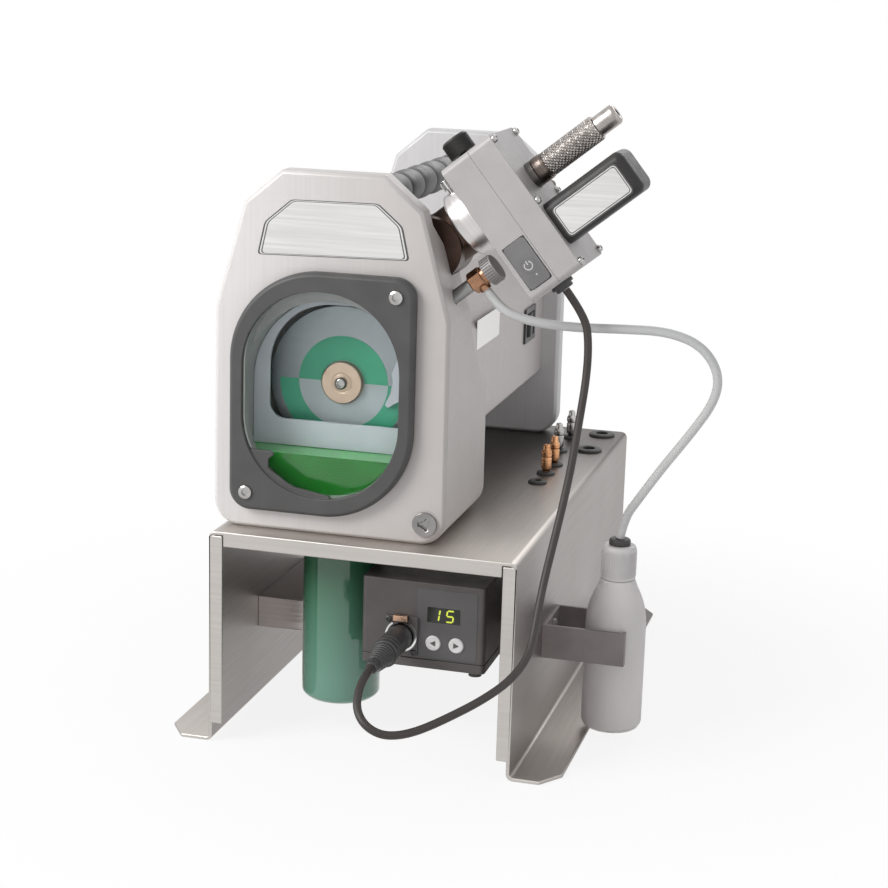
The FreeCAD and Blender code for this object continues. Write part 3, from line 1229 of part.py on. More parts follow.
small_pulley = rod("small_pulley", "small_pulley_r", "pulley_width", ("pulley_at", *MOTOR_AT), "x")
small_shaft = rod("small_shaft", "drive_shaft_r", FACE + " - head_wall + drive_shaft_in - pulley_at",
                  ("pulley_at", *MOTOR_AT), "x")
node("drive_pulley", join("drive_pulley", small_pulley, small_shaft), HEAD)
sleeve_tube = rod("sleeve_tube", "sleeve_r", FACE + " - sleeve_back", ("sleeve_back", "0", "0"), "x")
sleeve_nose = rod("sleeve_nose_rod", "sleeve_nose_r", "head_wall + sleeve_nose",
                  (FACE + " - head_wall", "0", "0"), "x")
large_pulley = rod("large_pulley", "large_pulley_r", "pulley_width", ("pulley_at", "0", "0"), "x")
sleeve_bore = rod("sleeve_bore", "stem_r + run_gap", "2 * head_back", ("sleeve_back - 1", "0", "0"), "x")
node("drive_sleeve", cut("drive_sleeve", join("sleeve_solid", sleeve_tube, sleeve_nose, large_pulley),
                         sleeve_bore), HEAD)


def belt_loop(grow):
    """The outline of a loop round both pulleys, as two arcs and two tangent lines."""
    big = number("large_pulley_r") + grow
    small = number("small_pulley_r") + grow
    fore, drop = number("motor_fore"), number("motor_drop")
    span = math.hypot(fore, drop)
    aim = math.atan2(-drop, -fore)
    lean = math.acos((big - small) / span)

    def spot(centre, radius, angle):
        return FreeCAD.Vector(0, centre[0] + radius * math.cos(angle), centre[1] + radius * math.sin(angle))

    far = (-fore, -drop)
    big_arc = Part.Arc(spot((0, 0), big, aim + lean), spot((0, 0), big, aim + math.pi), spot((0, 0), big, aim - lean))
    small_arc = Part.Arc(spot(far, small, aim - lean), spot(far, small, aim), spot(far, small, aim + lean))
    lines = [Part.LineSegment(spot((0, 0), big, aim - lean), spot(far, small, aim - lean)),
             Part.LineSegment(spot(far, small, aim + lean), spot((0, 0), big, aim + lean))]
    return Part.Wire([big_arc.toShape(), lines[0].toShape(), small_arc.toShape(), lines[1].toShape()])


def belt_solid(grow, start, width):
    loop = Part.Face(belt_loop(grow)).extrude(FreeCAD.Vector(width, 0, 0))
    loop.translate(FreeCAD.Vector(start, 0, 0))
    return loop


belt_in = number("clear_gap")
belt_out = belt_in + number("belt_thickness")
belt = doc.addObject("Part::Feature", "drive_belt")
belt.Shape = belt_solid(belt_out, number("pulley_at + 0.5"), number("pulley_width - 1")).cut(
    belt_solid(belt_in, number("pulley_at"), number("pulley_width")))
node("drive_belt", belt, HEAD)

# Electrode holder: stem, dark collar, knurled sleeve and end cap

COLLAR_AT = FACE + " + sleeve_nose + clear_gap"
holder_stem = rod("holder_stem", "stem_r", COLLAR_AT + " - stem_back", ("stem_back", "0", "0"), "x")
holder_collar = rod("holder_collar", "collar_r", "collar_length", (COLLAR_AT, "0", "0"), "x")
holder_knurl = rod("holder_knurl", "knurl_r", "knurl_length", (COLLAR_AT + " + collar_length", "0", "0"), "x")
holder_bore = rod("holder_bore", "electrode_bore_r", "4 * head_back", ("stem_back - 1", "0", "0"), "x")
node("electrode_holder", cut("electrode_holder", join("holder_solid", holder_stem, holder_collar, holder_knurl),
                             holder_bore), HEAD)
CAP_AT = COLLAR_AT + " + collar_length + knurl_length"
cap_rod = rod("cap_rod", "cap_r", "cap_length", (CAP_AT, "0", "0"), "x")
cap_bore = rod("cap_bore", "cap_bore_r", "2 * cap_length", (CAP_AT + " - 1", "0", "0"), "x")
node("holder_cap", cut("holder_cap", cap_rod, cap_bore), HEAD)

# Clamp knob on top of the head and thumb screw in the flange

knob_screw = rod("knob_screw", "knob_screw_r", "head_rise + knob_gap - spigot_r - clear_gap",
                 ("knob_at", "0", "spigot_r + clear_gap"))
knob_grip = rod("knob_grip", "knob_r", "knob_length", ("knob_at", "0", "head_rise + knob_gap"))
node("clamp_knob", join("clamp_knob", knob_screw, knob_grip), HEAD)
thumb_stem = rod("thumb_stem", "thumb_screw_r", "thumb_screw_in + thumb_gap - clear_gap",
                 ("thumb_at", "0", "flange_r - thumb_screw_in + clear_gap"))
thumb_head = rod("thumb_head", "thumb_r", "thumb_length", ("thumb_at", "0", "flange_r + thumb_gap"))
node("thumb_screw", join("thumb_screw", thumb_stem, thumb_head), HEAD)

# Cable gland at the head's low end

gland_low = "-head_fall - gland_flange - gland_length"
gland_neck = rod("gland_neck", "gland_r", "gland_length", ("gland_at", "-gland_fore", gland_low))
gland_ring = rod("gland_ring", "gland_flange_r", "gland_flange",
                 ("gland_at", "-gland_fore", "-head_fall - gland_flange"))
node("cable_gland", join("cable_gland", gland_ring, gland_neck), HEAD)

# Hose and cable: tubes of straight runs and arcs through points along their routes

def head_point(along, fore, up):
    """A point of the head's own frame, in the world."""
    turn = math.radians(number("head_tilt"))
    u, w = number(along), number(up)
    return (number(PIVOT_X) + u * math.cos(turn) - w * math.sin(turn), number(PIVOT_Y + " + " + fore),
            number(PIVOT_Z) + u * math.sin(turn) + w * math.cos(turn))


GLAND_MOUTH = head_point("gland_at", "-gland_fore", gland_low + " - cable_gap")
BOOT_TIP = (number(SOCKET[0]), number(PLUG_Y + " - plug_body - boot_length"), number(SOCKET[1]))
BARB_END = head_point("fitting_start + barb_at", "-fitting_fore", "-fitting_drop - barb_out")
CAP_TOP = (number(BOTTLE_X), number(BOTTLE_Y), number(CAP_Z + " + cap_height + cap_grommet_proud + hose_gap"))
CABLE_ROUTE = [
    GLAND_MOUTH, (129.8, -164.0, 347.8), (133.8, -165.5, 330.0), (134.3, -169.0, 304.0),
    (131.6, -177.0, 270.0), (128.4, -186.0, 232.5), (123.2, -197.0, 195.0), (118.1, -211.0, 159.5),
    (116.6, -228.0, 131.0), (117.0, -246.0, 111.1), (107.9, -265.0, 96.7), (91.8, -285.0, 86.5),
    (74.0, -303.0, 78.7), (57.0, -320.0, 72.6), (44.5, -333.0, 71.5), (32.5, -339.6, 73.0),
    (20.5, -339.2, 79.0), (12.5, -331.5, 87.0), (9.8, -318.5, 94.8), (9.25, -303.5, 100.2), BOOT_TIP,
]
HOSE_ROUTE = [
    BARB_END, (63.8, -172.0, 354.7), (75.0, -171.5, 346.3), (93.0, -164.0, 340.0),
    (120.0, -150.0, 336.0), (154.3, -144.0, 336.5), (187.8, -138.0, 336.2), (212.2, -128.0, 325.8),
    (225.3, -118.0, 303.8), (222.5, -113.0, 281.0), (205.0, -109.0, 253.0), (183.5, -105.0, 222.5),
    (166.0, -101.5, 195.0), (156.0, -99.0, 179.0), CAP_TOP,
]
BEND = 0.45


def tube(label, route, diameter):
    """A round tube along straight runs joined by tangent arcs, with its first and last points as given."""
    points = [FreeCAD.Vector(*p) for p in route]
    edges, radii = [], []
    start = points[0]
    for before, corner, after in zip(points, points[1:], points[2:]):
        back, ahead = before - corner, after - corner
        reach = BEND * min(back.Length, ahead.Length)
        back.normalize()
        ahead.normalize()
        half_turn = (math.pi - back.getAngle(ahead)) / 2
        radii.append(reach / math.tan(half_turn))
        enter, leave = corner + back * reach, corner + ahead * reach
        middle = corner + (back + ahead).normalize() * radii[-1] * (1 / math.cos(half_turn) - 1)
        edges.append(Part.LineSegment(start, enter).toShape())
        edges.append(Part.Arc(enter, middle, leave).toShape())
        start = leave
    edges.append(Part.LineSegment(start, points[-1]).toShape())
    path = Part.Wire(edges)
    ring = Part.Wire([Part.Circle(points[0], points[1] - points[0], diameter / 2).toShape()])
    solid = path.makePipeShell([ring], True, True)
    expected = math.pi * diameter ** 2 / 4 * path.Length
    print(label, "length %.1f" % path.Length, "volume ratio %.4f" % (solid.Volume / expected),
          "radii", [round(r) for r in radii])
    piece = doc.addObject("Part::Feature", label)
    piece.Shape = solid
    return piece


node("head_cable", tube("head_cable", CABLE_ROUTE, number("cable_d")))
node("fluid_hose", tube("fluid_hose", HOSE_ROUTE, number("hose_d")))

# Check every object, then write each piece

doc.recompute()
for item in doc.Objects:
    if {"Invalid", "Error"} & set(item.State):
        raise RuntimeError("%s failed: %s" % (item.Label, item.State))
for label, piece in NODES:
    if piece.Shape.isNull() or not piece.Shape.isValid() or piece.Shape.Volume <= 0:
        raise RuntimeError("%s has no valid shape" % label)
for label, piece in NODES:
    piece.Shape.exportStep("parts/%s.step" % label)
print(len(NODES), "pieces")
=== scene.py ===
import bmesh
import bpy
import json
import math
from mathutils import Matrix, Vector

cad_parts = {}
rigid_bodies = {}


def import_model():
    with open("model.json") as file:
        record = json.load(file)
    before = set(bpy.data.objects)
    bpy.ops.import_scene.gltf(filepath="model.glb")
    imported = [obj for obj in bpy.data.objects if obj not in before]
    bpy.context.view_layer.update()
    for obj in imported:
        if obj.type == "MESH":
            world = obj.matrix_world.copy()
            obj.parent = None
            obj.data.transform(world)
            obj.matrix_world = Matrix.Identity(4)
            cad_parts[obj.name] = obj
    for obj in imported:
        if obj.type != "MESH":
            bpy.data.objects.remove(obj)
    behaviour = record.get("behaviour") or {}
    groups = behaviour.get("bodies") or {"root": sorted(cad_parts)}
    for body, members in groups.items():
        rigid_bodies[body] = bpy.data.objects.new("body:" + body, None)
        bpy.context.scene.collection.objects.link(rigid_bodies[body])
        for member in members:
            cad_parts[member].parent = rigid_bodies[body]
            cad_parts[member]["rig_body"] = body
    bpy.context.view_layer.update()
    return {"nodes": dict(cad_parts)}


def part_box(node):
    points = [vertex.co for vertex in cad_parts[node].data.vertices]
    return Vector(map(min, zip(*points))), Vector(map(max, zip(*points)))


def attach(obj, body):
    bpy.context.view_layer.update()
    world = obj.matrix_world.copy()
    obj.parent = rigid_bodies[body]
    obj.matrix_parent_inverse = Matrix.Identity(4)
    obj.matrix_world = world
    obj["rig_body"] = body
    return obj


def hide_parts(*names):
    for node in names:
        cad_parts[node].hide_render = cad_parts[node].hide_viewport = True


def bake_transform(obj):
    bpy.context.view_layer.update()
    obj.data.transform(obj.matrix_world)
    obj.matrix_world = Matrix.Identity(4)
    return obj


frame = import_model()
nodes = frame["nodes"]

# Studio: pale paper under the machine that runs out to white, a large soft lamp high on the left,
# a weaker one on the right and one behind. The camera stands to the right and looks down a little.

MM = 0.001
scene = bpy.context.scene
scene.view_settings.view_transform = "Standard"
camera = bpy.data.objects.new("camera", bpy.data.cameras.new("camera"))
scene.collection.objects.link(camera)
scene.camera = camera
YAW, PITCH, ROLL = 0.262, 0.241, 0.030
ahead = Vector((-math.sin(YAW) * math.cos(PITCH), math.cos(YAW) * math.cos(PITCH), -math.sin(PITCH)))
level = Vector((math.cos(YAW), math.sin(YAW), 0))
upright = level.cross(ahead)
across = math.cos(ROLL) * level + math.sin(ROLL) * upright
upright = math.cos(ROLL) * upright - math.sin(ROLL) * level
camera.matrix_world = (Matrix.Translation((0.41185, -1.6042, 0.6077))
                       @ Matrix((across, upright, -ahead)).transposed().to_4x4())
camera.data.sensor_width = 36
camera.data.lens = 81.91
camera.data.clip_end = 30


def lamp(name, place, aim, size, watts):
    light = bpy.data.lights.new(name, "AREA")
    light.shape = "RECTANGLE"
    light.size, light.size_y = size
    light.energy = watts
    holder = bpy.data.objects.new(name, light)
    scene.collection.objects.link(holder)
    turn = (Vector(aim) - Vector(place)).to_track_quat("-Z", "Y").to_matrix().to_4x4()
    holder.matrix_world = Matrix.Translation(place) @ turn


lamp("key_lamp", (-1.5, -1.5, 1.5), (-0.05, 0, 0.25), (1.1, 1.1), 46)
lamp("fill_lamp", (1.7, -0.7, 0.8), (0, 0, 0.25), (0.8, 1.2), 3)
lamp("back_lamp", (0.3, 1.7, 1.4), (0, 0, 0.3), (1.4, 0.7), 8)


def feed(tree, socket, value):
    """A socket gets a plain value, or a link from another node's output."""
    if isinstance(value, bpy.types.NodeSocket):
        tree.links.new(value, socket)
    else:
        socket.default_value = value


def new_node(tree, kind, inputs=(), family="ShaderNode", **settings):
    """A node with its settings and what goes into its sockets."""
    made = tree.nodes.new(family + kind)
    for key, value in settings.items():
        setattr(made, key, value)
    for key, value in dict(inputs).items():
        feed(tree, made.inputs[key], value)
    return made


def maths(tree, operation, *values):
    """One or two values worked into one."""
    return new_node(tree, "Math", dict(enumerate(values)), operation=operation).outputs[0]


def background_rays(tree):
    """One for rays that show the backdrop itself: straight from the camera, mirrored or through glass."""
    rays = new_node(tree, "LightPath").outputs
    mirrored = maths(tree, "MAXIMUM", rays["Is Camera Ray"], rays["Is Glossy Ray"])
    return maths(tree, "MAXIMUM", mirrored, rays["Is Transmission Ray"])


def spread(tree, value, low, high, start=0.3, stop=0.7, way="LINEAR"):
    """A value spread between two numbers."""
    ends = {"Value": value, "From Min": start, "From Max": stop, "To Min": low, "To Max": high}
    return new_node(tree, "MapRange", ends, interpolation_type=way).outputs["Result"]


studio = bpy.data.worlds.new("studio")
scene.world = studio
studio.use_nodes = True
tree = studio.node_tree
tree.nodes.clear()
room_light = new_node(tree, "Background", {"Color": (0.95, 0.96, 1, 1), "Strength": 0.40}).outputs[0]
white_paper = new_node(tree, "Background", {"Color": (1, 1, 1, 1), "Strength": 1}).outputs[0]
shown = new_node(tree, "MixShader", {0: background_rays(tree), 1: room_light, 2: white_paper}).outputs[0]
new_node(tree, "OutputWorld", {"Surface": shown})

floor_mesh = bpy.data.meshes.new("floor")
FLOOR_Z, FLOOR_HALF = -0.0005, 8
floor_corners = [(x * FLOOR_HALF, y * FLOOR_HALF, FLOOR_Z) for x, y in ((-1, -1), (1, -1), (1, 1), (-1, 1))]
floor_mesh.from_pydata(floor_corners, [], [(0, 1, 2, 3)])
floor = bpy.data.objects.new("floor", floor_mesh)
scene.collection.objects.link(floor)
floor_paper = bpy.data.materials.new("floor_paper")
floor_paper.use_nodes = True
tree = floor_paper.node_tree
tree.nodes.clear()
paper = new_node(tree, "BsdfDiffuse", {"Color": (0.9, 0.9, 0.9, 1)}).outputs[0]
white = new_node(tree, "Emission", {"Color": (1, 1, 1, 1), "Strength": 1}).outputs[0]
spot = new_node(tree, "TexCoord").outputs["Object"]
far_out = new_node(tree, "VectorMath", {0: spot}, operation="LENGTH").outputs["Value"]
fade = spread(tree, far_out, 0.86, 1, 0.18, 0.62, "SMOOTHSTEP")
share = maths(tree, "MULTIPLY", fade, background_rays(tree))
shown = new_node(tree, "MixShader", {0: share, 1: paper, 2: white}).outputs[0]
new_node(tree, "OutputMaterial", {"Surface": shown})
floor_mesh.materials.append(floor_paper)

# Head cable: a limp round lead in dark grey rubber, from the gland under the head to the control box.
# It hangs free in front of the stand. Its plug and bend relief are moulded on.


def into(tree, label, value):
    """What goes into a finish's shader."""
    feed(tree, tree.nodes["Principled BSDF"].inputs[label], value)


def finish_of(name, colour, roughness, metallic=0.0, **more):
    """A finish before its grain is added, and its nodes."""
    finish = bpy.data.materials.new(name)
    finish.use_nodes = True
    plain = {"base_color": (*colour, 1), "roughness": roughness, "metallic": metallic}
    for label, value in {**plain, **more}.items():
        into(finish.node_tree, label.replace("_", " ").title().replace("Ior", "IOR"), value)
    return finish, finish.node_tree


def grain(tree, scale, stretch=(1, 1, 1), detail=3, place=None):
    """Noise in the object's coordinates or a piece's own frame, stretched the way the surface was worked."""
    spot = new_node(tree, "TexCoord").outputs["Object"]
    if place is not None:
        own = {"Location": place.to_translation(), "Rotation": place.to_euler(), "Vector": spot}
        spot = new_node(tree, "Mapping", own, vector_type="TEXTURE").outputs["Vector"]
    spot = new_node(tree, "Mapping", {"Scale": stretch, "Vector": spot}).outputs["Vector"]
    return new_node(tree, "TexNoise", {"Scale": scale, "Detail": detail, "Vector": spot}).outputs["Fac"]


def between(tree, share, first, second, kind="FLOAT"):
    """Two values or colours mixed by a share."""
    mix = new_node(tree, "Mix", data_type=kind)
    for socket, value in zip([s for s in mix.inputs if s.enabled], (share, first, second)):
        feed(tree, socket, value)
    return [s for s in mix.outputs if s.enabled][0]


def shade(tree, value, dark, pale):
    """A colour between a dark and a pale shade."""
    return between(tree, value, (*dark, 1), (*pale, 1), "RGBA")


def tinted(tree, value, dark, pale):
    """The finish's colour, between a dark and a pale shade."""
    into(tree, "Base Color", shade(tree, value, dark, pale))


def clouded(tree, scale, dark, pale, detail=3):
    """The finish's colour in soft clouds."""
    tinted(tree, spread(tree, grain(tree, scale, detail=detail), 0, 1), dark, pale)


def raised(tree, value, strength, depth):
    """Fine relief from a value."""
    bump = new_node(tree, "Bump", {"Strength": strength, "Distance": depth, "Height": value})
    into(tree, "Normal", bump.outputs["Normal"])


def glossed(tree, value, low, high):
    """Roughness that goes between two levels."""
    into(tree, "Roughness", spread(tree, value, low, high))


def moulded(name, colour, roughness, grain_scale=900, relief=0.2, shift=0.12, **more):
    """Moulded plastic or rubber: a faint mottle, uneven gloss and a fine grain from the tool."""
    finish, tree = finish_of(name, colour, roughness, **more)
    dark, pale = [c * (1 - shift) for c in colour], [min(1, c * (1 + shift)) for c in colour]
    clouded(tree, 45, dark, pale)
    glossed(tree, grain(tree, 120), roughness - 0.05, roughness + 0.05)
    raised(tree, grain(tree, grain_scale, detail=2), relief, 0.0002)
    return finish


CABLE_ROUTE = [
    (114.758, -164, 366.418), (129.8, -164, 347.8), (133.8, -165.5, 330), (134.3, -169, 304),
    (131.6, -177, 270), (128.4, -186, 232.5), (123.2, -197, 195), (118.1, -211, 159.5),
    (116.6, -228, 131), (117, -246, 111.1), (107.9, -265, 96.7), (91.8, -285, 86.5),
    (74, -303, 78.7), (57, -320, 72.6), (44.5, -333, 71.5), (32.5, -339.6, 73),
    (20.5, -339.2, 79), (12.5, -331.5, 87), (9.8, -318.5, 94.8), (9.25, -303.5, 100.2), (9.25, -288, 101.3),
]
CABLE_D, CABLE_BENDS_FROM, CABLE_BENDS_TO = 6, (0.1284, -0.186, 0.2325), (0.1159, -0.164, 0.3650)


def baked(piece):
    """The piece as a plain mesh, with its modifiers done."""
    return bpy.data.meshes.new_from_object(piece.evaluated_get(bpy.context.evaluated_depsgraph_get()))


def smooth(mesh, angle=32):
    for face in mesh.polygons:
        face.use_smooth = True
    mesh.set_sharp_from_angle(angle=math.radians(angle))


def add_piece(name, mesh, finish):
    mesh.materials.clear()
    mesh.materials.append(finish)
    for face in mesh.polygons:
        face.material_index = 0
    piece = bpy.data.objects.new(name, mesh)
    scene.collection.objects.link(piece)
    return piece


def goes_on(piece, node):
    """An extra piece fixed to a node: it moves with the node's body."""
    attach(piece, nodes[node]["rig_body"])
    return piece


def stands_for(piece, node):
    """The piece takes a node's place and body."""
    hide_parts(node)
    return goes_on(piece, node)


def make(name, mesh, finish, node):
    """A piece in a node's place."""
    return stands_for(add_piece(name, mesh, finish), node)


def fix(name, mesh, finish, node):
    """An extra piece on a node."""
    return goes_on(add_piece(name, mesh, finish), node)


def line_points(name, route):
    """Points along a smooth open line whose control points are the route's."""
    line = bpy.data.curves.new(name, "CURVE")
    line.dimensions = "3D"
    line.resolution_u = 10
    spline = line.splines.new("NURBS")
    spline.points.add(len(route) - 1)
    for point, (x, y, z) in zip(spline.points, route):
        point.co = (x * MM, y * MM, z * MM, 1)
    spline.order_u = 3
    spline.use_endpoint_u = True
    holder = bpy.data.objects.new(name, line)
    scene.collection.objects.link(holder)
    points = [v.co.copy() for v in baked(holder).vertices]
    bpy.data.objects.remove(holder)
    return points


def skin(work, rings, ends=True, loop=False):
    """Faces between neighbouring rings of corners, and over the first and last ring."""
    for a, b in list(zip(rings, rings[1:])) + ([(rings[-1], rings[0])] if loop else []):
        for i in range(max(len(a), len(b))):
            corners = a[i % len(a)], a[(i + 1) % len(a)], b[(i + 1) % len(b)], b[i % len(b)]
            corners = list(dict.fromkeys(corners))
            if len(corners) > 2:
                work.faces.new(corners)
    if ends:
        work.faces.new(list(reversed(rings[0])))
        work.faces.new(rings[-1])


def mesh_of(work, place=Matrix(), angle=30):
    """The finished mesh: its faces outward, set in its place, its edges sharp above an angle."""
    bmesh.ops.recalc_face_normals(work, faces=work.faces)
    work.transform(place)
    mesh = bpy.data.meshes.new("mesh")
    work.to_mesh(mesh)
    work.free()
    smooth(mesh, angle)
    return mesh


def ring(work, height, reaches):
    """Corners of a level ring in millimetres, one for each reach."""
    turns = [2 * math.pi * i / len(reaches) for i in range(len(reaches))]
    return [work.verts.new((reach * MM * math.cos(t), reach * MM * math.sin(t), height * MM))
            for reach, t in zip(reaches, turns)]


def round_tube(points, radius, sides=20):
    """A round closed tube along points."""
    work = bmesh.new()
    ways = [(b - a).normalized() for a, b in zip(points, points[1:])]
    ways = [ways[0]] + [(a + b).normalized() for a, b in zip(ways, ways[1:])] + [ways[-1]]
    side = ways[0].orthogonal().normalized()
    turns = [2 * math.pi * i / sides for i in range(sides)]
    rings = []
    for point, way in zip(points, ways):
        side = (side - way * side.dot(way)).normalized()
        other = way.cross(side)
        spokes = (math.cos(t) * side + math.sin(t) * other for t in turns)
        rings.append([work.verts.new(point + radius * spoke) for spoke in spokes])
    skin(work, rings)
    return mesh_of(work, angle=60)


def bend(before, corner, after, radius, most, steps):
    """Points round one corner. The bend takes up no more than a share of the sides."""
    corner = Vector(corner)
    back, fore = Vector(before) - corner, Vector(after) - corner
    reach = min(radius, most * back.length, most * fore.length)
    first, last = corner + back.normalized() * reach, corner + fore.normalized() * reach
    return [(1 - t) ** 2 * first + 2 * t * (1 - t) * corner + t ** 2 * last
            for t in (k / steps for k in range(steps + 1))]


def eased(profile, radius):
    """A profile with its corners rounded off."""
    threes = zip(profile, profile[1:], profile[2:])
    return [profile[0], *(p for three in threes for p in bend(*three, radius, 0.45, 4)), profile[-1]]


def lathe(profile, place=Matrix(), steps=64, closed=False, angle=32):
    """A mesh turned from (radius, height) points in millimetres about an upright axis, then set in place."""
    work = bmesh.new()
    rings = [ring(work, height, [radius] * (steps if radius > 1e-5 else 1)) for radius, height in profile]
    skin(work, rings, False, closed)
    bmesh.ops.remove_doubles(work, verts=work.verts, dist=1e-7)
    return mesh_of(work, place, angle)


TO_FRONT = Matrix.Rotation(math.pi / 2, 4, "X")
TO_BACK = Matrix.Rotation(-math.pi / 2, 4, "X")


def at(x, y, z, turn=Matrix()):
    """A place in the machine's frame, in millimetres, with a turn."""
    return Matrix.Translation((x * MM, y * MM, z * MM)) @ turn


cable_rubber = moulded("cable_rubber", (0.036, 0.029, 0.026), 0.5, 1400, 0.15)
cable_points = line_points("cable_line", CABLE_ROUTE)
cable = add_piece("cable", round_tube(cable_points, CABLE_D / 2 * MM), cable_rubber)
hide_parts("head_cable")
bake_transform(cable)

plug_black = moulded("plug_black", (0.045, 0.043, 0.043), 0.42, 1100, 0.2)
SOCKET_X, SOCKET_Z, PLUG_LENGTH = 9.25, 101.3, 44.0
PLUG_AT = at(SOCKET_X, -212, SOCKET_Z, TO_FRONT)
plug_profile = [(0, 0), (8.9, 0), (8.9, 3.2), (9.7, 4), (9.7, 12), (10.1, 13), (10.1, 31), (9.5, 32),
                (9.5, 33.4), (10.5, 34.2), (10.5, 37), (9.9, 37.8), (9.9, 39.2), (10.5, 40), (10.5, 43.2),
                (9.8, PLUG_LENGTH), (0, PLUG_LENGTH)]
plug_shell = make("plug_shell", lathe(eased(plug_profile, 0.4), PLUG_AT, 72), plug_black, "plug_body")
RIBS, RIB_STEP, RELIEF_R, RELIEF_TAPER, RELIEF_END = 7, 3.4, 9, 0.42, PLUG_LENGTH + 32.0
relief_profile = [(0, PLUG_LENGTH), (RELIEF_R, PLUG_LENGTH)]
for i in range(RIBS):
    near, wide = PLUG_LENGTH + RIB_STEP * i, RELIEF_R - RELIEF_TAPER * i
    relief_profile += [(wide, near + 0.3), (wide, near + 2), (wide - 1, near + 2.3), (wide - 1.1, near + 3.1)]
relief_profile += [(5.9, RELIEF_END - 7.8), (5.4, RELIEF_END - 5), (4.6, RELIEF_END - 0.6), (4.1, RELIEF_END),
                   (0, RELIEF_END)]
bend_relief = make("bend_relief", lathe(eased(relief_profile, 0.3), PLUG_AT, 56), plug_black, "plug_boot")

# Drip hose: pale soft vinyl tube, pushed on the brass barb beside the swing drum.
# It stands out to the right by its own spring and drops into the bottle's cap.

HOSE_ROUTE = [
    (56.893, -172, 363.286), (63.8, -172, 354.7), (75, -171.5, 346.3), (93, -164, 340),
    (120, -150, 336), (154.3, -144, 336.5), (187.8, -138, 336.2), (212.2, -128, 325.8),
    (225.3, -118, 303.8), (222.5, -113, 281), (205, -109, 253), (183.5, -105, 222.5),
    (166, -101.5, 195), (156, -99, 179), (153.25, -98.5, 162.6),
]
HOSE_D = 7.0
hose_vinyl, tree = finish_of("hose_vinyl", (0.60, 0.60, 0.59), 0.45)
clouded(tree, 18, (0.56, 0.56, 0.55), (0.64, 0.64, 0.63), 1)
hose_points = line_points("hose_line", HOSE_ROUTE)
hose = make("hose", round_tube(hose_points, HOSE_D / 2 * MM), hose_vinyl, "fluid_hose")

# Bench stand: three-millimetre stainless sheet, sheared, bent to a flat-footed arch with short returned
# lips, and finished with a belt along its depth. The brace is a bent channel welded between the legs.


def worked_metal(name, dark, pale, roughness, streak=(900, 14, 900), broad=5, relief=0.1, place=None):
    """Belt-finished or turned metal: fine streaks along the cut over broad, faint clouds."""
    finish, tree = finish_of(name, pale, roughness, 1)
    streaks = grain(tree, 1, streak, 4, place)
    both = maths(tree, "ADD", streaks, grain(tree, broad, (1, 0.5, 1), 2))
    tinted(tree, spread(tree, both, 0, 1, 0.7, 1.3), dark, pale)
    glossed(tree, streaks, roughness - 0.07, roughness + 0.07)
    raised(tree, streaks, relief, 0.0001)
    return finish


def plain_copy(node):
    """A node's mesh as one closed skin, with its own shading taken off and its flats in one piece."""
    mesh = nodes[node].data.copy()
    for kept in ("custom_normal", "sharp_edge", "sharp_face"):
        if kept in mesh.attributes:
            mesh.attributes.remove(mesh.attributes[kept])
    work = bmesh.new()
    work.from_mesh(mesh)
    bmesh.ops.remove_doubles(work, verts=work.verts, dist=2e-6)
    bmesh.ops.recalc_face_normals(work, faces=work.faces)
    bmesh.ops.dissolve_limit(work, angle_limit=math.radians(0.6), verts=work.verts, edges=work.edges)
    work.to_mesh(mesh)
    work.free()
    for face in mesh.polygons:
        face.use_smooth = True
    return mesh


def softened(node, name, width, finish, segments=2, angle=32):
    """A copy of a node with its sharp edges rolled and its flats kept flat, in the node's place."""
    holder = add_piece(name + "_rough", plain_copy(node), finish)
    bevel = holder.modifiers.new("edges", "BEVEL")
    bevel.width = width * MM
    bevel.segments = segments
    bevel.limit_method = "ANGLE"
    bevel.angle_limit = math.radians(angle)
    bevel.use_clamp_overlap = False
    flats = holder.modifiers.new("flats", "WEIGHTED_NORMAL")
    flats.weight = 100
    made = baked(holder)
    bpy.data.objects.remove(holder)
    return stands_for(add_piece(name, made, finish), node)


def facing(tree, axis, edge=0.6):
    """One where the surface looks along an axis, either way, and zero elsewhere."""
    way = new_node(tree, "SeparateXYZ", {0: new_node(tree, "TexCoord").outputs["Normal"]}).outputs[axis]
    return spread(tree, maths(tree, "ABSOLUTE", way), 0, 1, edge - 0.15, edge + 0.15)


def along(tree, axis, start, stop):
    """A value that runs from zero to one between two places on an axis, in millimetres."""
    place = new_node(tree, "SeparateXYZ", {0: new_node(tree, "TexCoord").outputs["Object"]}).outputs[axis]
    return spread(tree, place, 0, 1, start * MM, stop * MM)


# Painted light and shade: the stand's colour follows which way each face looks and how far back it lies. The
# returned lips are painted pale as a highlight. The top is painted pale at the front and dark towards the
# back, as shade under the casing. The legs lie between. Only the streaks are the belt's.
stainless, tree = finish_of("stainless", (0.3, 0.28, 0.27), 0.36, 1)
lips = facing(tree, "Y")
streaks = between(tree, lips, grain(tree, 1, (900, 14, 900), 4), grain(tree, 1, (14, 900, 500), 4))
lines = spread(tree, streaks, 0, 1, 0.25, 0.75)
legs_tone = shade(tree, lines, (0.29, 0.267, 0.257), (0.35, 0.322, 0.31))
lit_front_tone = shade(tree, lines, (0.50, 0.465, 0.435), (0.58, 0.54, 0.51))
shaded_rear_tone = shade(tree, lines, (0.075, 0.068, 0.064), (0.105, 0.096, 0.091))
top_painted_shade = between(tree, along(tree, "Y", -222, 150), lit_front_tone, shaded_rear_tone, "RGBA")
lips_painted_highlight = shade(tree, lines, (0.515, 0.487, 0.46), (0.58, 0.55, 0.52))
flats_painted_shade = between(tree, facing(tree, "Z"), legs_tone, top_painted_shade, "RGBA")
into(tree, "Base Color", between(tree, lips, flats_painted_shade, lips_painted_highlight, "RGBA"))
glossed(tree, grain(tree, 6, detail=2), 0.36, 0.46)
raised(tree, streaks, 0.03, 0.0001)
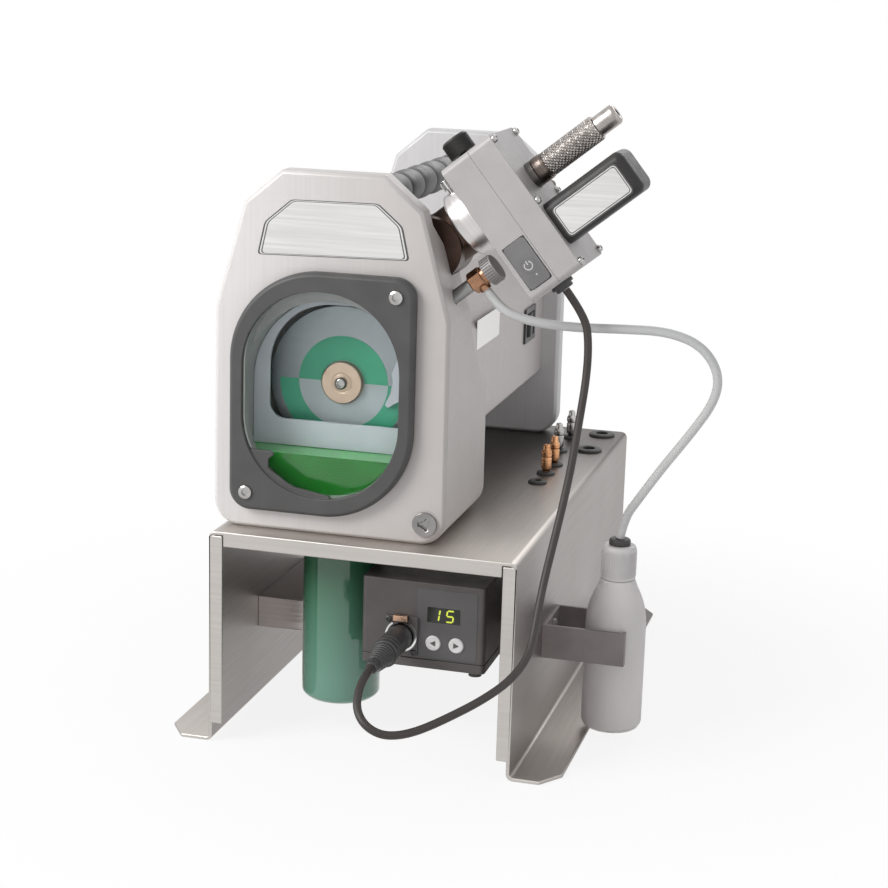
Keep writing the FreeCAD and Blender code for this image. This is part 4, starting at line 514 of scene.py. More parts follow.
softened("stand_frame", "bench_stand", 1.1, stainless, 3)
brace_steel = worked_metal("brace_steel", (0.60, 0.56, 0.545), (0.72, 0.675, 0.66), 0.2,
                           (14, 900, 900), 6, 0.02)
softened("stand_brace", "cross_brace", 0.4, brace_steel)

# Tool row: black rubber grommets pressed into holes along the stand's right side.
# Turned brass and steel spare collets stand in four of the small ones.

soft_rubber = moulded("soft_rubber", (0.05, 0.047, 0.046), 0.6, 700, 0.3)
collet_brass = worked_metal("collet_brass", (0.52, 0.24, 0.11), (0.80, 0.45, 0.24), 0.28, (40, 40, 900), 60)
bright_steel = worked_metal("bright_steel", (0.34, 0.33, 0.32), (0.56, 0.55, 0.54), 0.24, (200, 200, 200), 40)
STAND_TOP = 171.0
small_spots = [(61.75, 10), (61.75, 42), (61.75, 74), (54.75, 125), (54.75, 180)]
large_spots = [(79.75, 138), (79.75, 200)]
GEOMETRY = "GeometryNode"


def repeat_tree(name, **labels):
    """A node group with named inputs that puts an instance on every point, makes it solid and paints it."""
    tree = bpy.data.node_groups.new(name, "GeometryNodeTree")
    socket = tree.interface.new_socket
    socket("Geometry", in_out="INPUT", socket_type="NodeSocketGeometry")
    keys = {label: socket(label, in_out="INPUT", socket_type="NodeSocket" + kind).identifier
            for label, kind in (*labels.items(), ("Finish", "Material"))}
    socket("Geometry", in_out="OUTPUT", socket_type="NodeSocketGeometry")
    entry = tree.nodes.new("NodeGroupInput").outputs
    put = new_node(tree, "InstanceOnPoints", (), GEOMETRY)
    solid = new_node(tree, "RealizeInstances", {0: put.outputs[0]}, GEOMETRY)
    painted = {"Geometry": solid.outputs[0], "Material": entry["Finish"]}
    paint = new_node(tree, "SetMaterial", painted, GEOMETRY)
    new_node(tree, "GroupOutput", {0: paint.outputs[0]}, "Node")
    return tree, entry, put.inputs, keys


def repeated(points, tree, keys, **values):
    """The plain mesh that a node group makes of a mesh of points."""
    holder = bpy.data.objects.new("points", points)
    scene.collection.objects.link(holder)
    modifier = holder.modifiers.new("repeat", "NODES")
    modifier.node_group = tree
    for label, value in values.items():
        modifier[keys[label]] = value
    made = baked(holder)
    holder.modifiers.remove(modifier)
    bpy.data.objects.remove(holder)
    return made


def each_in_place(name, shape_mesh, places, finish):
    """One shape at each of several places, turned as the place says."""
    points = bpy.data.meshes.new(name + "_points")
    points.from_pydata([p.to_translation() for p in places], [], [])
    turns = points.attributes.new("turn", "FLOAT_VECTOR", "POINT")
    for item, p in zip(turns.data, places):
        item.vector = p.to_euler()
    shape = bpy.data.objects.new(name + "_shape", shape_mesh)
    scene.collection.objects.link(shape)
    tree, entry, put, keys = repeat_tree(name + "_places", Shape="Object", Size="Float")
    shown = new_node(tree, "ObjectInfo", {"Object": entry["Shape"]}, GEOMETRY).outputs["Geometry"]
    turn = new_node(tree, "InputNamedAttribute", {"Name": "turn"}, GEOMETRY, data_type="FLOAT_VECTOR")
    for label, source in (("Points", entry["Geometry"]), ("Instance", shown), ("Rotation", turn.outputs[0]),
                          ("Scale", entry["Size"])):
        feed(tree, put[label], source)
    made = repeated(points, tree, keys, Shape=shape, Size=1.0, Finish=finish)
    bpy.data.objects.remove(shape)
    smooth(made)
    return add_piece(name, made, finish)


def grommet_ring(hole, bore):
    wide = hole + 3
    outline = [(bore, 2), (bore, -5.5), (wide, -5.5), (wide, -3), (hole, -3), (hole, 0), (wide, 0),
               (wide, 1.2), (wide - 0.8, 2.1), (wide - 2, 2.5), (bore + 0.6, 2.5)]
    return lathe(outline, steps=48, closed=True)


def on_top(spots):
    return [at(x, y, STAND_TOP) for x, y in spots]


small_rings = each_in_place("small_rings", grommet_ring(5, 3), on_top(small_spots), soft_rubber)
stands_for(small_rings, "small_grommets")
large_rings = each_in_place("large_rings", grommet_ring(9, 5.5), on_top(large_spots), soft_rubber)
stands_for(large_rings, "large_grommets")
collet_profile = eased([(0, -5.5), (2.7, -5.5), (2.7, 3), (4.3, 5), (4.5, 7), (4.5, 14), (3.8, 14.4),
                        (3.8, 15.4), (4.5, 15.8), (4.5, 19.5), (3.2, 21.4), (2.9, 25), (2.3, 26), (1.2, 26),
                        (1.2, 18), (0, 18)], 0.35)
collet = lathe(collet_profile, steps=40)
stands_for(each_in_place("brass_collets", collet, on_top(small_spots[1:3]), collet_brass), "spare_collets")
goes_on(each_in_place("steel_collets", collet, on_top(small_spots[3:]), bright_steel), "spare_collets")

# Casing: an aluminium casting, faced, brushed upright and clear-coated, with a bevel round its front edge.
# A bare pressed plate with a dark double border is stuck above the window.


def brushed(name, dark, pale, roughness, metallic):
    """Alloy brushed upright and coated: fine upright lines, a fine sparkle and a faint cloud."""
    finish, tree = finish_of(name, pale, roughness, metallic)
    fine, coarse = grain(tree, 1, (900, 900, 12), 3), grain(tree, 1, (260, 260, 6), 3)
    tone = between(tree, grain(tree, 7, detail=4), fine, coarse)
    tinted(tree, spread(tree, tone, 0, 1, 0.25, 0.75), dark, pale)
    glossed(tree, grain(tree, 260), roughness - 0.05, roughness + 0.05)
    raised(tree, grain(tree, 1600, detail=2), 0.12, 0.0001)
    return finish


def rounded(corners, radius):
    """A closed outline with its corners rounded."""
    threes = zip(corners[-1:] + corners, corners, corners[1:] + corners[:1])
    return [p for three in threes for p in bend(*three, radius, 0.49, 6)]


def oblong(left, right, low, high, radius):
    return rounded([(left, low), (right, low), (right, high), (left, high)], radius)


def plate(outline, thickness, place, ease=0.15):
    """A flat plate cut to an anticlockwise outline in millimetres, with its upper edge eased."""
    points = [Vector(p) for p in outline]
    sides = [after - before for before, after in zip(points[-1:] + points, points[1:] + points[:1])]
    inward = [Vector((-s.y, s.x)).normalized() for s in sides]
    levels = [(0, 0), (thickness - ease, 0)] + ([(thickness, ease)] if ease else [])
    work = bmesh.new()
    skin(work, [[work.verts.new((*(p + n * inset) * MM, height * MM)) for p, n in zip(points, inward)]
                for height, inset in levels])
    return mesh_of(work, place)


def paint_light_and_shade_towards(finish, share, colour):
    """The finish's colour turned towards another by a share, to paint light and shade into it."""
    tree = finish.node_tree
    colour_now = tree.nodes["Principled BSDF"].inputs["Base Color"].links[0].from_socket
    other = shade(tree, grain(tree, 40), [c * 0.94 for c in colour], [c * 1.06 for c in colour])
    into(tree, "Base Color", between(tree, share, colour_now, other, "RGBA"))


def inside(tree, x, z, radius, front):
    """One within a bore along the depth, behind its front, and zero elsewhere."""
    spot = new_node(tree, "TexCoord").outputs["Object"]
    centre = {"Location": (-x * MM, 0, -z * MM), "Scale": (1, 0, 1), "Vector": spot}
    from_axis = new_node(tree, "Mapping", centre).outputs["Vector"]
    reach = new_node(tree, "VectorMath", {0: from_axis}, operation="LENGTH").outputs["Value"]
    within = spread(tree, reach, 1, 0, radius * MM, (radius + 0.5) * MM)
    return maths(tree, "MULTIPLY", within, along(tree, "Y", front, front + 0.5))


casing_satin = brushed("casing_satin", (0.65, 0.625, 0.61), (0.72, 0.695, 0.68), 0.44, 0.15)
tree = casing_satin.node_tree
# Painted shade: the casing's colour darkens towards its right side, where less light falls.
paint_light_and_shade_towards(casing_satin, along(tree, "X", -130, 60), (0.47, 0.435, 0.415))
CHAMBER_X, CHAMBER_Z, CHAMBER_R, CASING_FRONT = -59.25, 280, 82, -201.5
# Painted shade: the chamber's walls inside the bore, behind the window, are painted darker as shade in the
# recess.
paint_light_and_shade_towards(casing_satin, inside(tree, CHAMBER_X, CHAMBER_Z, CHAMBER_R, CASING_FRONT + 1), (0.34, 0.34, 0.34))
softened("front_casing", "casing", 0.8, casing_satin)
plate_corners = [(-112.2, 382.4), (5.4, 385.2), (-0.2, 409.7), (-18.9, 425.4), (-85.9, 424.6),
                 (-106.7, 406.9)]
plate_middle = Vector((-54, 403))
plate_dark = moulded("plate_dark", (0.07, 0.07, 0.07), 0.45, 1200, 0.08)
plate_silver = worked_metal("plate_silver", (0.65, 0.64, 0.63), (0.76, 0.75, 0.74), 0.36,
                            (14, 900, 900), 8, 0.05)
badge_layers = [("badge_edge", 1, 0.30, plate_dark), ("badge_band", 0.977, 0.36, plate_silver),
                ("badge_line", 0.955, 0.42, plate_dark), ("badge_face", 0.938, 0.48, plate_silver)]
for name, shrink, rise, finish in badge_layers:
    outline = rounded([tuple(plate_middle + (Vector(c) - plate_middle) * shrink) for c in plate_corners], 3)
    fix(name, plate(outline, rise, at(0, CASING_FRONT, 0, TO_FRONT), 0.05), finish, "front_casing")

# Motor cover and rear plate: a drawn aluminium shell behind the casing, closed by a plate on four screws.
# The motor, its bearings and its shaft run along inside.

cover_satin = brushed("cover_satin", (0.52, 0.475, 0.46), (0.575, 0.53, 0.515), 0.44, 0.15)
rear_satin = brushed("rear_satin", (0.58, 0.57, 0.57), (0.65, 0.64, 0.64), 0.44, 0.15)
softened("motor_cover", "cover", 1.5, cover_satin, 3)
softened("rear_plate", "back_plate", 0.8, rear_satin)
dark_steel = worked_metal("dark_steel", (0.20, 0.20, 0.20), (0.34, 0.34, 0.34), 0.35, (120, 120, 120), 30)


def dress(node, finish):
    """A node that keeps its own shape gets its finish."""
    nodes[node].data.materials.clear()
    nodes[node].data.materials.append(finish)


dress("motor_housing", dark_steel)
for inner in ("motor_bearings", "motor_shaft", "pivot_pin"):
    dress(inner, bright_steel)


def socket_head(radius, height, socket, depth, steps=48):
    """A button-headed screw with a hexagon socket. Its seat is at zero height."""
    work = bmesh.new()
    dome = [(1, 0), (1, 0.35), (0.93, 0.68), (0.74, 0.92), (0.6, 1)]
    rings = [ring(work, height * z, [radius * r] * steps) for r, z in dome]
    sixth = math.pi / 3
    flats = [1 / math.cos((2 * math.pi * i / steps + sixth / 2) % sixth - sixth / 2) for i in range(steps)]
    for z, r in ((height, socket), (height - depth, socket * 0.94)):
        rings.append(ring(work, z, [r * flat for flat in flats]))
    skin(work, rings)
    return mesh_of(work)


def front_of(node):
    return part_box(node)[0].y / MM


def back_of(node):
    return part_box(node)[1].y / MM


back_corners = [at(x, back_of("rear_plate"), z, TO_BACK) for x in (-129, 20.5) for z in (262, 400)]
goes_on(each_in_place("back_screws", socket_head(4.5, 2.2, 2, 1.4), back_corners, bright_steel), "rear_plate")
TO_RIGHT = Matrix(((0, 0, 1, 0), (1, 0, 0, 0), (0, 1, 0, 0), (0, 0, 0, 1)))
cover_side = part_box("motor_cover")[1].x / MM
label_plate = plate(oblong(-58, 17, 294, 318, 1.5), 0.3, at(cover_side, 0, 0, TO_RIGHT), 0.05)
fix("cover_label", label_plate, plate_silver, "motor_cover")

# Carry handle: a bar in a ribbed black rubber sleeve, bolted between the casing's crown and the rear plate.
# The sleeve swells between its grooves.

HANDLE_FRONT, HANDLE_BACK, SWELLS, SWELL_POINTS = -183.5, 187.5, 11, 12
handle_rubber = moulded("handle_rubber", (0.06, 0.057, 0.056), 0.42, 700, 0.35)
handle_length = HANDLE_BACK - HANDLE_FRONT
handle_profile = [(0, 0), (10.6, 0)]
for i in range(SWELLS):
    near, step = handle_length * i / SWELLS, handle_length / SWELLS
    for share in (k / SWELL_POINTS for k in range(1, SWELL_POINTS)):
        handle_profile += [(10.8 + 2.1 * math.sin(math.pi * share) ** 0.6, near + step * share)]
    handle_profile += [(10.6, near + step)]
handle_profile += [(0, handle_length)]
handle = lathe(handle_profile, at(-19.25, HANDLE_FRONT, 431, TO_BACK), 56, angle=40)
make("handle", handle, handle_rubber, "carry_handle")

# Mains switch and inlet: a black rocker in a snap-in bezel on the cover's right side, and a moulded
# three-pin inlet screwed to the rear plate.

switch_black = moulded("switch_black", (0.04, 0.04, 0.041), 0.36, 1300, 0.12)
softened("switch_bezel", "switch_rim", 0.5, switch_black)
softened("rocker_switch", "rocker", 0.6, switch_black, 3)
softened("mains_inlet", "inlet", 0.4, switch_black)
inlet_ears = [at(x, back_of("mains_inlet"), 246, TO_BACK) for x in (-75.25, -33.25)]
inlet_screws = each_in_place("inlet_screws", socket_head(2.6, 1.4, 1.2, 0.9), inlet_ears, bright_steel)
goes_on(inlet_screws, "mains_inlet")

# Window: a moulded dark frame on two screws holds a clear pane against the chamber's front.
# The frame is matt with a fine grain, and its edges are rolled.

frame_grey = moulded("frame_grey", (0.066, 0.064, 0.063), 0.5, 1100, 0.25)
softened("window_frame", "window_rim", 0.9, frame_grey, 3, 28)
pane_clear, tree = finish_of("pane_clear", (0.97, 0.99, 0.98), 0.03, transmission_weight=1, ior=1.12)
glossed(tree, grain(tree, 30), 0.01, 0.05)
dress("window_pane", pane_clear)
screws_low, screws_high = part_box("window_screws")
BOLT_R = 5.5
bolt_spots = [(screws_high.x / MM - BOLT_R, screws_high.z / MM - BOLT_R),
              (screws_low.x / MM + BOLT_R, screws_low.z / MM + BOLT_R)]
bolt_places = [at(x, front_of("window_frame"), z, TO_FRONT) for x, z in bolt_spots]
window_bolts = each_in_place("window_bolts", socket_head(BOLT_R, 2.5, 2.3, 1.6), bolt_places, bright_steel)
stands_for(window_bolts, "window_screws")

# Wheel: a turned steel disc with a plated diamond rim, held on the motor's shaft by a brass flange
# and one screw. A two-part green and grey ring is printed on its face.

WHEEL_BACK, WHEEL_FACE = -140, 12.0
wheel_at = at(CHAMBER_X, WHEEL_BACK, CHAMBER_Z, TO_FRONT)
wheel_grey = worked_metal("wheel_grey", (0.30, 0.325, 0.345), (0.37, 0.40, 0.42), 0.46, (120, 120, 120), 12)
wheel_profile = eased([(0, 0), (58, 0), (60, 1), (60, 11), (59, 12), (0, 12)], 0.3)
make("wheel", lathe(wheel_profile, wheel_at, 160), wheel_grey, "grinding_wheel")
hub_at = at(CHAMBER_X, back_of("hub_flange"), CHAMBER_Z, TO_FRONT)
hub_brass = worked_metal("hub_brass", (0.50, 0.37, 0.28), (0.66, 0.52, 0.42), 0.34, (90, 90, 90), 30)
hub_profile = eased([(0, 0), (16.5, 0), (16.5, 4.2), (15.7, 5), (8.2, 5), (7.8, 4.6), (6.6, 4.6), (6.2, 5),
                     (0, 5)], 0.25)
make("hub", lathe(hub_profile, hub_at, 96), hub_brass, "hub_flange")
hub_bolt = each_in_place("hub_bolt", socket_head(5, 4, 2.5, 2.4), [hub_at @ at(0, 0, 5)], bright_steel)
stands_for(hub_bolt, "hub_screw")


def arc_band(inner, outer, start, stop, thickness, place, steps=40, ease=0.02):
    """A flat band bent to part of a ring, between two angles."""
    turns = [math.radians(start + (stop - start) * i / steps) for i in range(steps + 1)]
    outline = [(outer * math.cos(t), outer * math.sin(t)) for t in turns]
    outline += [(inner * math.cos(t), inner * math.sin(t)) for t in reversed(turns)]
    return plate(outline, thickness, place, ease)


ring_at = wheel_at @ at(0, 0, WHEEL_FACE - 0.1)
ring_green = moulded("ring_green", (0.055, 0.36, 0.22), 0.4, 900, 0.05, 0.08)
ring_grey = moulded("ring_grey", (0.42, 0.47, 0.49), 0.4, 900, 0.05, 0.06)
fix("ring_upper", arc_band(17, 36, 0, 180, 0.3, ring_at, 72, 0), ring_green, "grinding_wheel")
fix("ring_lower", arc_band(36, 51.5, 180, 360, 0.3, ring_at, 72, 0), ring_green, "grinding_wheel")
fix("ring_lower_inside", arc_band(17, 36, 180, 360, 0.25, ring_at, 72, 0), ring_grey, "grinding_wheel")

# Chamber: a white splash sheet across the chamber with a cut-out round the wheel, a curved wiper beside
# its rim, and the green coolant that the wheel dips in.

guard_white = moulded("guard_white", (0.50, 0.52, 0.57), 0.42, 600, 0.1, 0.05)
softened("splash_guard", "splash_sheet", 0.6, guard_white, 3)
coolant_green, tree = finish_of("coolant_green", (0.012, 0.18, 0.018), 0.12, coat_weight=0.4)
clouded(tree, 14, (0.009, 0.155, 0.013), (0.016, 0.20, 0.024))
# Painted sheen: the coolant's upward-facing top is painted paler than its sides.
paint_light_and_shade_towards(coolant_green, facing(tree, "Z"), (0.10, 0.50, 0.13))
raised(tree, grain(tree, 40), 0.05, 0.001)
dress("coolant", coolant_green)

# Drain plug: a plated turned head with a key slot, screwed into the casing's low right corner.
# It is polished before plating.

plug_steel = worked_metal("plug_steel", (0.20, 0.195, 0.19), (0.36, 0.35, 0.345), 0.22, (60, 60, 60), 30)
softened("drain_plug", "plug_key", 0.5, plug_steel, 3, 30)

# Drip fitting: a brass hexagon body screwed into the casing's shoulder, with a barb for the hose and
# a grey moulded nut. The nut's ribs run along its axis.

HEAD_Y, HEAD_TILT = -146, 38.9
HEAD = at(11.65, HEAD_Y, 389.1, Matrix.Rotation(math.radians(-HEAD_TILT), 4, "Y"))
ALONG = Matrix.Rotation(math.pi / 2, 4, "Y")
HANGING = Matrix.Rotation(math.pi, 4, "X")


def joined(*meshes):
    """Several meshes as one."""
    work = bmesh.new()
    for mesh in meshes:
        work.from_mesh(mesh)
    made = bpy.data.meshes.new("joined")
    work.to_mesh(made)
    work.free()
    return made


def ribbed(name, count, radius, length, rib_width, rib_height, finish):
    """Ribs along a cylinder's side: nodes put one bar on each point of a circle and turn it outwards."""
    tree, entry, put, keys = repeat_tree(name + "_ribs", Count="Int", Radius="Float", Bar="Vector")
    spread_out = {"Vertices": entry["Count"], "Radius": entry["Radius"]}
    circle = new_node(tree, "MeshCircle", spread_out, GEOMETRY).outputs[0]
    bar = new_node(tree, "MeshCube", {"Size": entry["Bar"]}, GEOMETRY).outputs[0]
    share = maths(tree, "DIVIDE", new_node(tree, "InputIndex", (), GEOMETRY).outputs[0], entry["Count"])
    turn = new_node(tree, "CombineXYZ", {"Z": maths(tree, "MULTIPLY", share, 2 * math.pi)}).outputs[0]
    for label, source in (("Points", circle), ("Instance", bar), ("Rotation", turn)):
        feed(tree, put[label], source)
    bar_size = rib_height * MM, rib_width * MM, length * MM
    made = repeated(bpy.data.meshes.new(name + "_centre"), tree, keys, Count=count,
                    Radius=(radius - rib_height / 2) * MM, Bar=bar_size, Finish=finish)
    made.transform(Matrix.Translation((0, 0, length / 2 * MM)))
    return made


fitting_brass = worked_metal("fitting_brass", (0.26, 0.135, 0.08), (0.43, 0.24, 0.145), 0.28,
                             (200, 200, 200), 60)
fitting_at = HEAD @ at(0, -26, -39)
stem = lathe([(0, -12), (5, -12), (5, 12), (0, 12)], fitting_at @ ALONG, 32)
hexagon_profile = eased([(0, 12), (7.6, 12), (8.5, 13), (8.5, 22.6), (7.6, 23.6), (0, 23.6)], 0.2)
hexagon = lathe(hexagon_profile, fitting_at @ ALONG, 6, angle=20)
neck = lathe(eased([(0, 23.4), (7.4, 23.4), (7.4, 27), (0, 27)], 0.2), fitting_at @ ALONG, 40)
barb = lathe(eased([(0, 0), (4.6, 0), (4.6, 9.5), (0, 9.5)], 0.3), fitting_at @ at(19, 0, 0, HANGING), 32)
make("brass_fitting", joined(hexagon, neck, barb), fitting_brass, "hose_fitting")
fix("fitting_stem", stem, dark_steel, "hose_fitting")
nut_grey = moulded("nut_grey", (0.27, 0.25, 0.245), 0.36, 900, 0.15)
nut_core = lathe(eased([(0, 0), (10, 0), (10.4, 0.6), (10.4, 8.4), (10, 9), (0, 9)], 0.2), steps=64)
nut = joined(nut_core, ribbed("nut", 32, 11, 7.6, 1.1, 1.2, nut_grey))
nut.transform(fitting_at @ at(27, 0, 0, ALONG))
make("knurled_nut", nut, nut_grey, "hose_nut")

# Swing drum and flange: a dark phosphated steel drum turns on a pin in the casing's shoulder.
# A turned aluminium flange on its neck carries the head, and a small chrome screw locks it.

drum_brown = worked_metal("drum_brown", (0.045, 0.028, 0.022), (0.085, 0.055, 0.045), 0.4, (60, 900, 60), 20)
softened("swing_drum", "drum", 0.6, drum_brown, 3)
turned_alloy = worked_metal("turned_alloy", (0.56, 0.54, 0.53), (0.76, 0.74, 0.73), 0.34,
                            (900, 12, 12), 30, place=HEAD)
flange_profile = eased([(6, 0), (25.5, 0), (26.5, 1), (26.5, 18), (25.5, 19), (11.8, 19), (11.8, 39),
                        (6, 39)], 0.3)
flange = lathe(flange_profile, HEAD @ at(26.5, 0, 0, ALONG), 128, closed=True)
make("flange", flange, turned_alloy, "head_flange")
plated = worked_metal("plated", (0.55, 0.55, 0.55), (0.86, 0.86, 0.86), 0.14, (60, 60, 60), 30)
thumb_profile = eased([(0, -10.8), (2, -10.8), (2, 0), (3.3, 0), (3.5, 0.3), (3.5, 6.7), (3.2, 7),
                       (0, 7)], 0.15)
thumb = joined(lathe(thumb_profile, steps=40), ribbed("thumb", 22, 4, 5.6, 0.55, 0.7, plated))
thumb.transform(HEAD @ at(33, 0, 29.5))
make("thumb_knob", thumb, plated, "thumb_screw")

# Head: two grey moulded shells joined at a fine seam, held by six button-headed screws in the lid.
# The small motor, its pulley, the belt and the driven sleeve are inside.

shell_grey = moulded("shell_grey", (0.44, 0.42, 0.41), 0.42, 900, 0.15, 0.05)
softened("head_rear_shell", "head_back", 0.45, shell_grey)
softened("head_front_shell", "head_lid", 0.45, shell_grey)
lid_corners = [HEAD @ at(91, y, w, ALONG) for y in (-33.5, 33.5) for w in (36.1, -18, -71.8)]
lid_screws = each_in_place("lid_screws", socket_head(3, 3, 1.4, 1.6, 36), lid_corners, bright_steel)
stands_for(lid_screws, "head_screws")
dress("drive_motor", dark_steel)
dress("drive_pulley", bright_steel)
belt_rubber = moulded("belt_rubber", (0.03, 0.03, 0.03), 0.6, 700, 0.3)
dress("drive_belt", belt_rubber)
sleeve_steel = worked_metal("sleeve_steel", (0.16, 0.15, 0.14), (0.26, 0.25, 0.24), 0.3,
                            (900, 12, 12), 30, place=HEAD)
dress("drive_sleeve", sleeve_steel)

# Power pad: a dark membrane on the head's near side with a raised dome, pressed to start the holder's motor.
# A ring-and-bar sign and a small lamp are moulded in it.

pad_grey = moulded("pad_grey", (0.17, 0.165, 0.165), 0.5, 1300, 0.12)
mark_pale = moulded("mark_pale", (0.62, 0.61, 0.60), 0.45, 1200, 0.05)
softened("power_pad", "pad", 0.4, pad_grey, 3)
PAD_FACE = front_of("power_pad")
pad_at = HEAD @ at(59, PAD_FACE - HEAD_Y, -52.5, TO_FRONT)
sign = [arc_band(2.7, 3.5, 125, 415, 0.12, pad_at),
        plate(oblong(-0.4, 0.4, 0.6, 3.8, 0.2), 0.12, pad_at, 0.02),
        lathe([(0, 0), (0.7, 0), (0.6, 0.15), (0, 0.2)], pad_at @ at(1.5, -8.5, 0), 20)]
fix("pad_sign", joined(*sign), mark_pale, "power_pad")
pad_dome = lathe(eased([(5.2, 0), (5.3, 0.14), (5.9, 0.14), (6, 0)], 0.05), pad_at, 64, closed=True)
fix("pad_dome", pad_dome, pad_grey, "power_pad")

# Clamp knob: a black moulded knob with fine ribs round it, pressed on a steel screw.
# It is screwed into the top of the head.

knob_black = moulded("knob_black", (0.034, 0.032, 0.031), 0.42, 1000, specular_ior_level=0.4)
knob_profile = eased([(0, -12), (3, -12), (3, 0), (9.6, 0), (10.2, 0.8), (10.2, 12.2), (9.4, 13.5),
                      (8, 13.5), (7.6, 13), (0, 13)], 0.4)
knob = joined(lathe(knob_profile, steps=72), ribbed("knob", 54, 10.8, 11.8, 0.5, 0.7, knob_black))
knob.transform(HEAD @ at(58, 0, 44.1))
make("knob", knob, knob_black, "clamp_knob")

# Hand grip: a charcoal moulded handle over the motor, rounded all along and closed at its end.
# A bare pressed plate with a dark double border lies in its near side.

grip_black = moulded("grip_black", (0.034, 0.032, 0.031), 0.42, 800, specular_ior_level=0.3)
grip_mesh = plain_copy("hand_grip")
work = bmesh.new()
work.from_mesh(grip_mesh)
GRIP_END, to_head = 160, HEAD.inverted()
end_rim = [e for e in work.edges if all((to_head @ v.co).x > (GRIP_END - 0.1) * MM for v in e.verts)
           and len(e.link_faces) == 2 and e.calc_face_angle() > 0.5]
bmesh.ops.bevel(work, geom=end_rim, offset=6 * MM, segments=6, profile=0.5, affect="EDGES")
work.to_mesh(grip_mesh)
work.free()
smooth(grip_mesh, 40)
make("grip", grip_mesh, grip_black, "hand_grip")
GRIP_FACE = front_of("hand_grip")
grip_at = HEAD @ at(0, GRIP_FACE - HEAD_Y, 0, TO_FRONT)
grip_layers = [("grip_border", 0, 0.4, plate_dark), ("grip_band", 1.1, 0.48, plate_silver),
               ("grip_line", 1.8, 0.54, plate_dark), ("grip_plate", 2.4, 0.6, plate_silver)]
for name, inset, rise, finish in grip_layers:
    outline = oblong(94.6 + inset, 153 - inset, -54.4 + inset, -28.6 - inset, 4 - 0.6 * inset)
    fix(name, plate(outline, rise, grip_at, 0.1), finish, "hand_grip")

# Electrode holder: a turned steel stem with a dark collar, a long diamond-knurled grip and a smooth end cap.
# It slides out of the driven sleeve.

knurl_steel = worked_metal("knurl_steel", (0.30, 0.275, 0.26), (0.46, 0.43, 0.41), 0.32, (200, 200, 200), 60)
collar_dark = worked_metal("collar_dark", (0.12, 0.10, 0.09), (0.22, 0.18, 0.16), 0.32,
                           (900, 12, 12), 30, place=HEAD)
HOLDER_LOW, COLLAR, KNURL = 96.3, 9, 46.0
axis_at = HEAD @ at(0, 0, 0, ALONG)


def diamond_knurl(radius, length, teeth, depth, place, sides=192, steps=138):
    """A cylinder's side with crossed spiral grooves pressed in it, and plain closed ends."""
    work = bmesh.new()
    pitch = 2 * math.pi * radius / teeth
    LAND, SLOPE, RUN_OUT = 0.62, 1.6, 1.2
    rings = []
    for height in (length * k / steps for k in range(steps + 1)):
        end = max(0, min(1, height / RUN_OUT, (length - height) / RUN_OUT))
        reaches = []
        for turn in (teeth * i / sides for i in range(sides)):
            spirals = turn + height / pitch, turn - height / pitch
            groove = min(abs(spiral % 1 - 0.5) * 2 for spiral in spirals)
            reaches.append(radius - depth + depth * end * (groove * SLOPE if groove < LAND else 1))
        rings.append(ring(work, height, reaches))
    skin(work, rings)
    return mesh_of(work, place)


knurl = diamond_knurl(10, KNURL, 20, 0.8, axis_at @ at(0, 0, HOLDER_LOW + COLLAR))
make("holder_knurl", knurl, knurl_steel, "electrode_holder")
STEM_BACK, STEM_R, BORE_R = 70, 4.9, 1.65
stem_profile = [(BORE_R, STEM_BACK), (STEM_R - 0.4, STEM_BACK), (STEM_R, STEM_BACK + 0.4),
                (STEM_R, HOLDER_LOW + 0.1), (BORE_R, HOLDER_LOW + 0.1)]
stem = lathe(stem_profile, axis_at, 64, closed=True)
fix("holder_stem", stem, bright_steel, "electrode_holder")
collar_profile = eased([(BORE_R, 0), (10.2, 0), (10.6, 0.5), (10.6, 7.2), (10.1, 7.6), (10.1, 8.2),
                        (10.4, 8.5), (10, COLLAR), (BORE_R, COLLAR)], 0.2)
collar = lathe(collar_profile, axis_at @ at(0, 0, HOLDER_LOW), 80, closed=True)
fix("holder_collar", collar, collar_dark, "electrode_holder")
cap_profile = eased([(3, 0), (7.6, 0), (8, 0.5), (8, 15.4), (7.6, 16.6), (6.4, 17.8), (5.6, 18), (3.4, 18),
                     (3, 17.6)], 0.4)
end_cap = lathe(cap_profile, axis_at @ at(0, 0, HOLDER_LOW + COLLAR + KNURL), 80, closed=True)
make("end_cap", end_cap, knurl_steel, "holder_cap")

# Cable gland: a black moulded collar screwed into the underside of the head.
# The cable leaves the head through it.

gland_profile = eased([(0, 0), (9, 0), (9, 2.6), (8.6, 3), (7, 3), (7, 5.3), (6.2, 6), (0, 6)], 0.3)
make("gland", lathe(gland_profile, HEAD @ at(66, -18, -76.3, HANGING), 48), plug_black, "cable_gland")

# Control box: a two-part black moulded case on rubber feet, with a bare dark overlay, a numeral display
# and two round keys. It stands on the brace between the stand's legs.

box_black = moulded("box_black", (0.075, 0.066, 0.063), 0.42, 900, 0.2)
overlay_dark = moulded("overlay_dark", (0.085, 0.08, 0.08), 0.35, 1500, 0.06)
softened("control_shell", "control_top", 1.4, box_black, 4)
softened("control_base", "control_tray", 0.6, box_black, 3)
dress("control_feet", soft_rubber)
box_at = at(0, front_of("control_shell"), 0, TO_FRONT)
display_glass = moulded("display_glass", (0.02, 0.022, 0.018), 0.15, 900, 0.03)
panel_layers = [("overlay_line", oblong(20.6, 68.1, 85.6, 140.4, 3), 0.14, 0.03, plate_dark),
                ("overlay", oblong(21.05, 67.65, 86.05, 139.95, 2.7), 0.22, 0.05, overlay_dark),
                ("display", oblong(29.05, 54.65, 114.2, 126.2, 0.8), 0.36, 0.08, display_glass)]
for name, outline, rise, ease, finish in panel_layers:
    fix(name, plate(outline, rise, box_at, ease), finish, "control_shell")
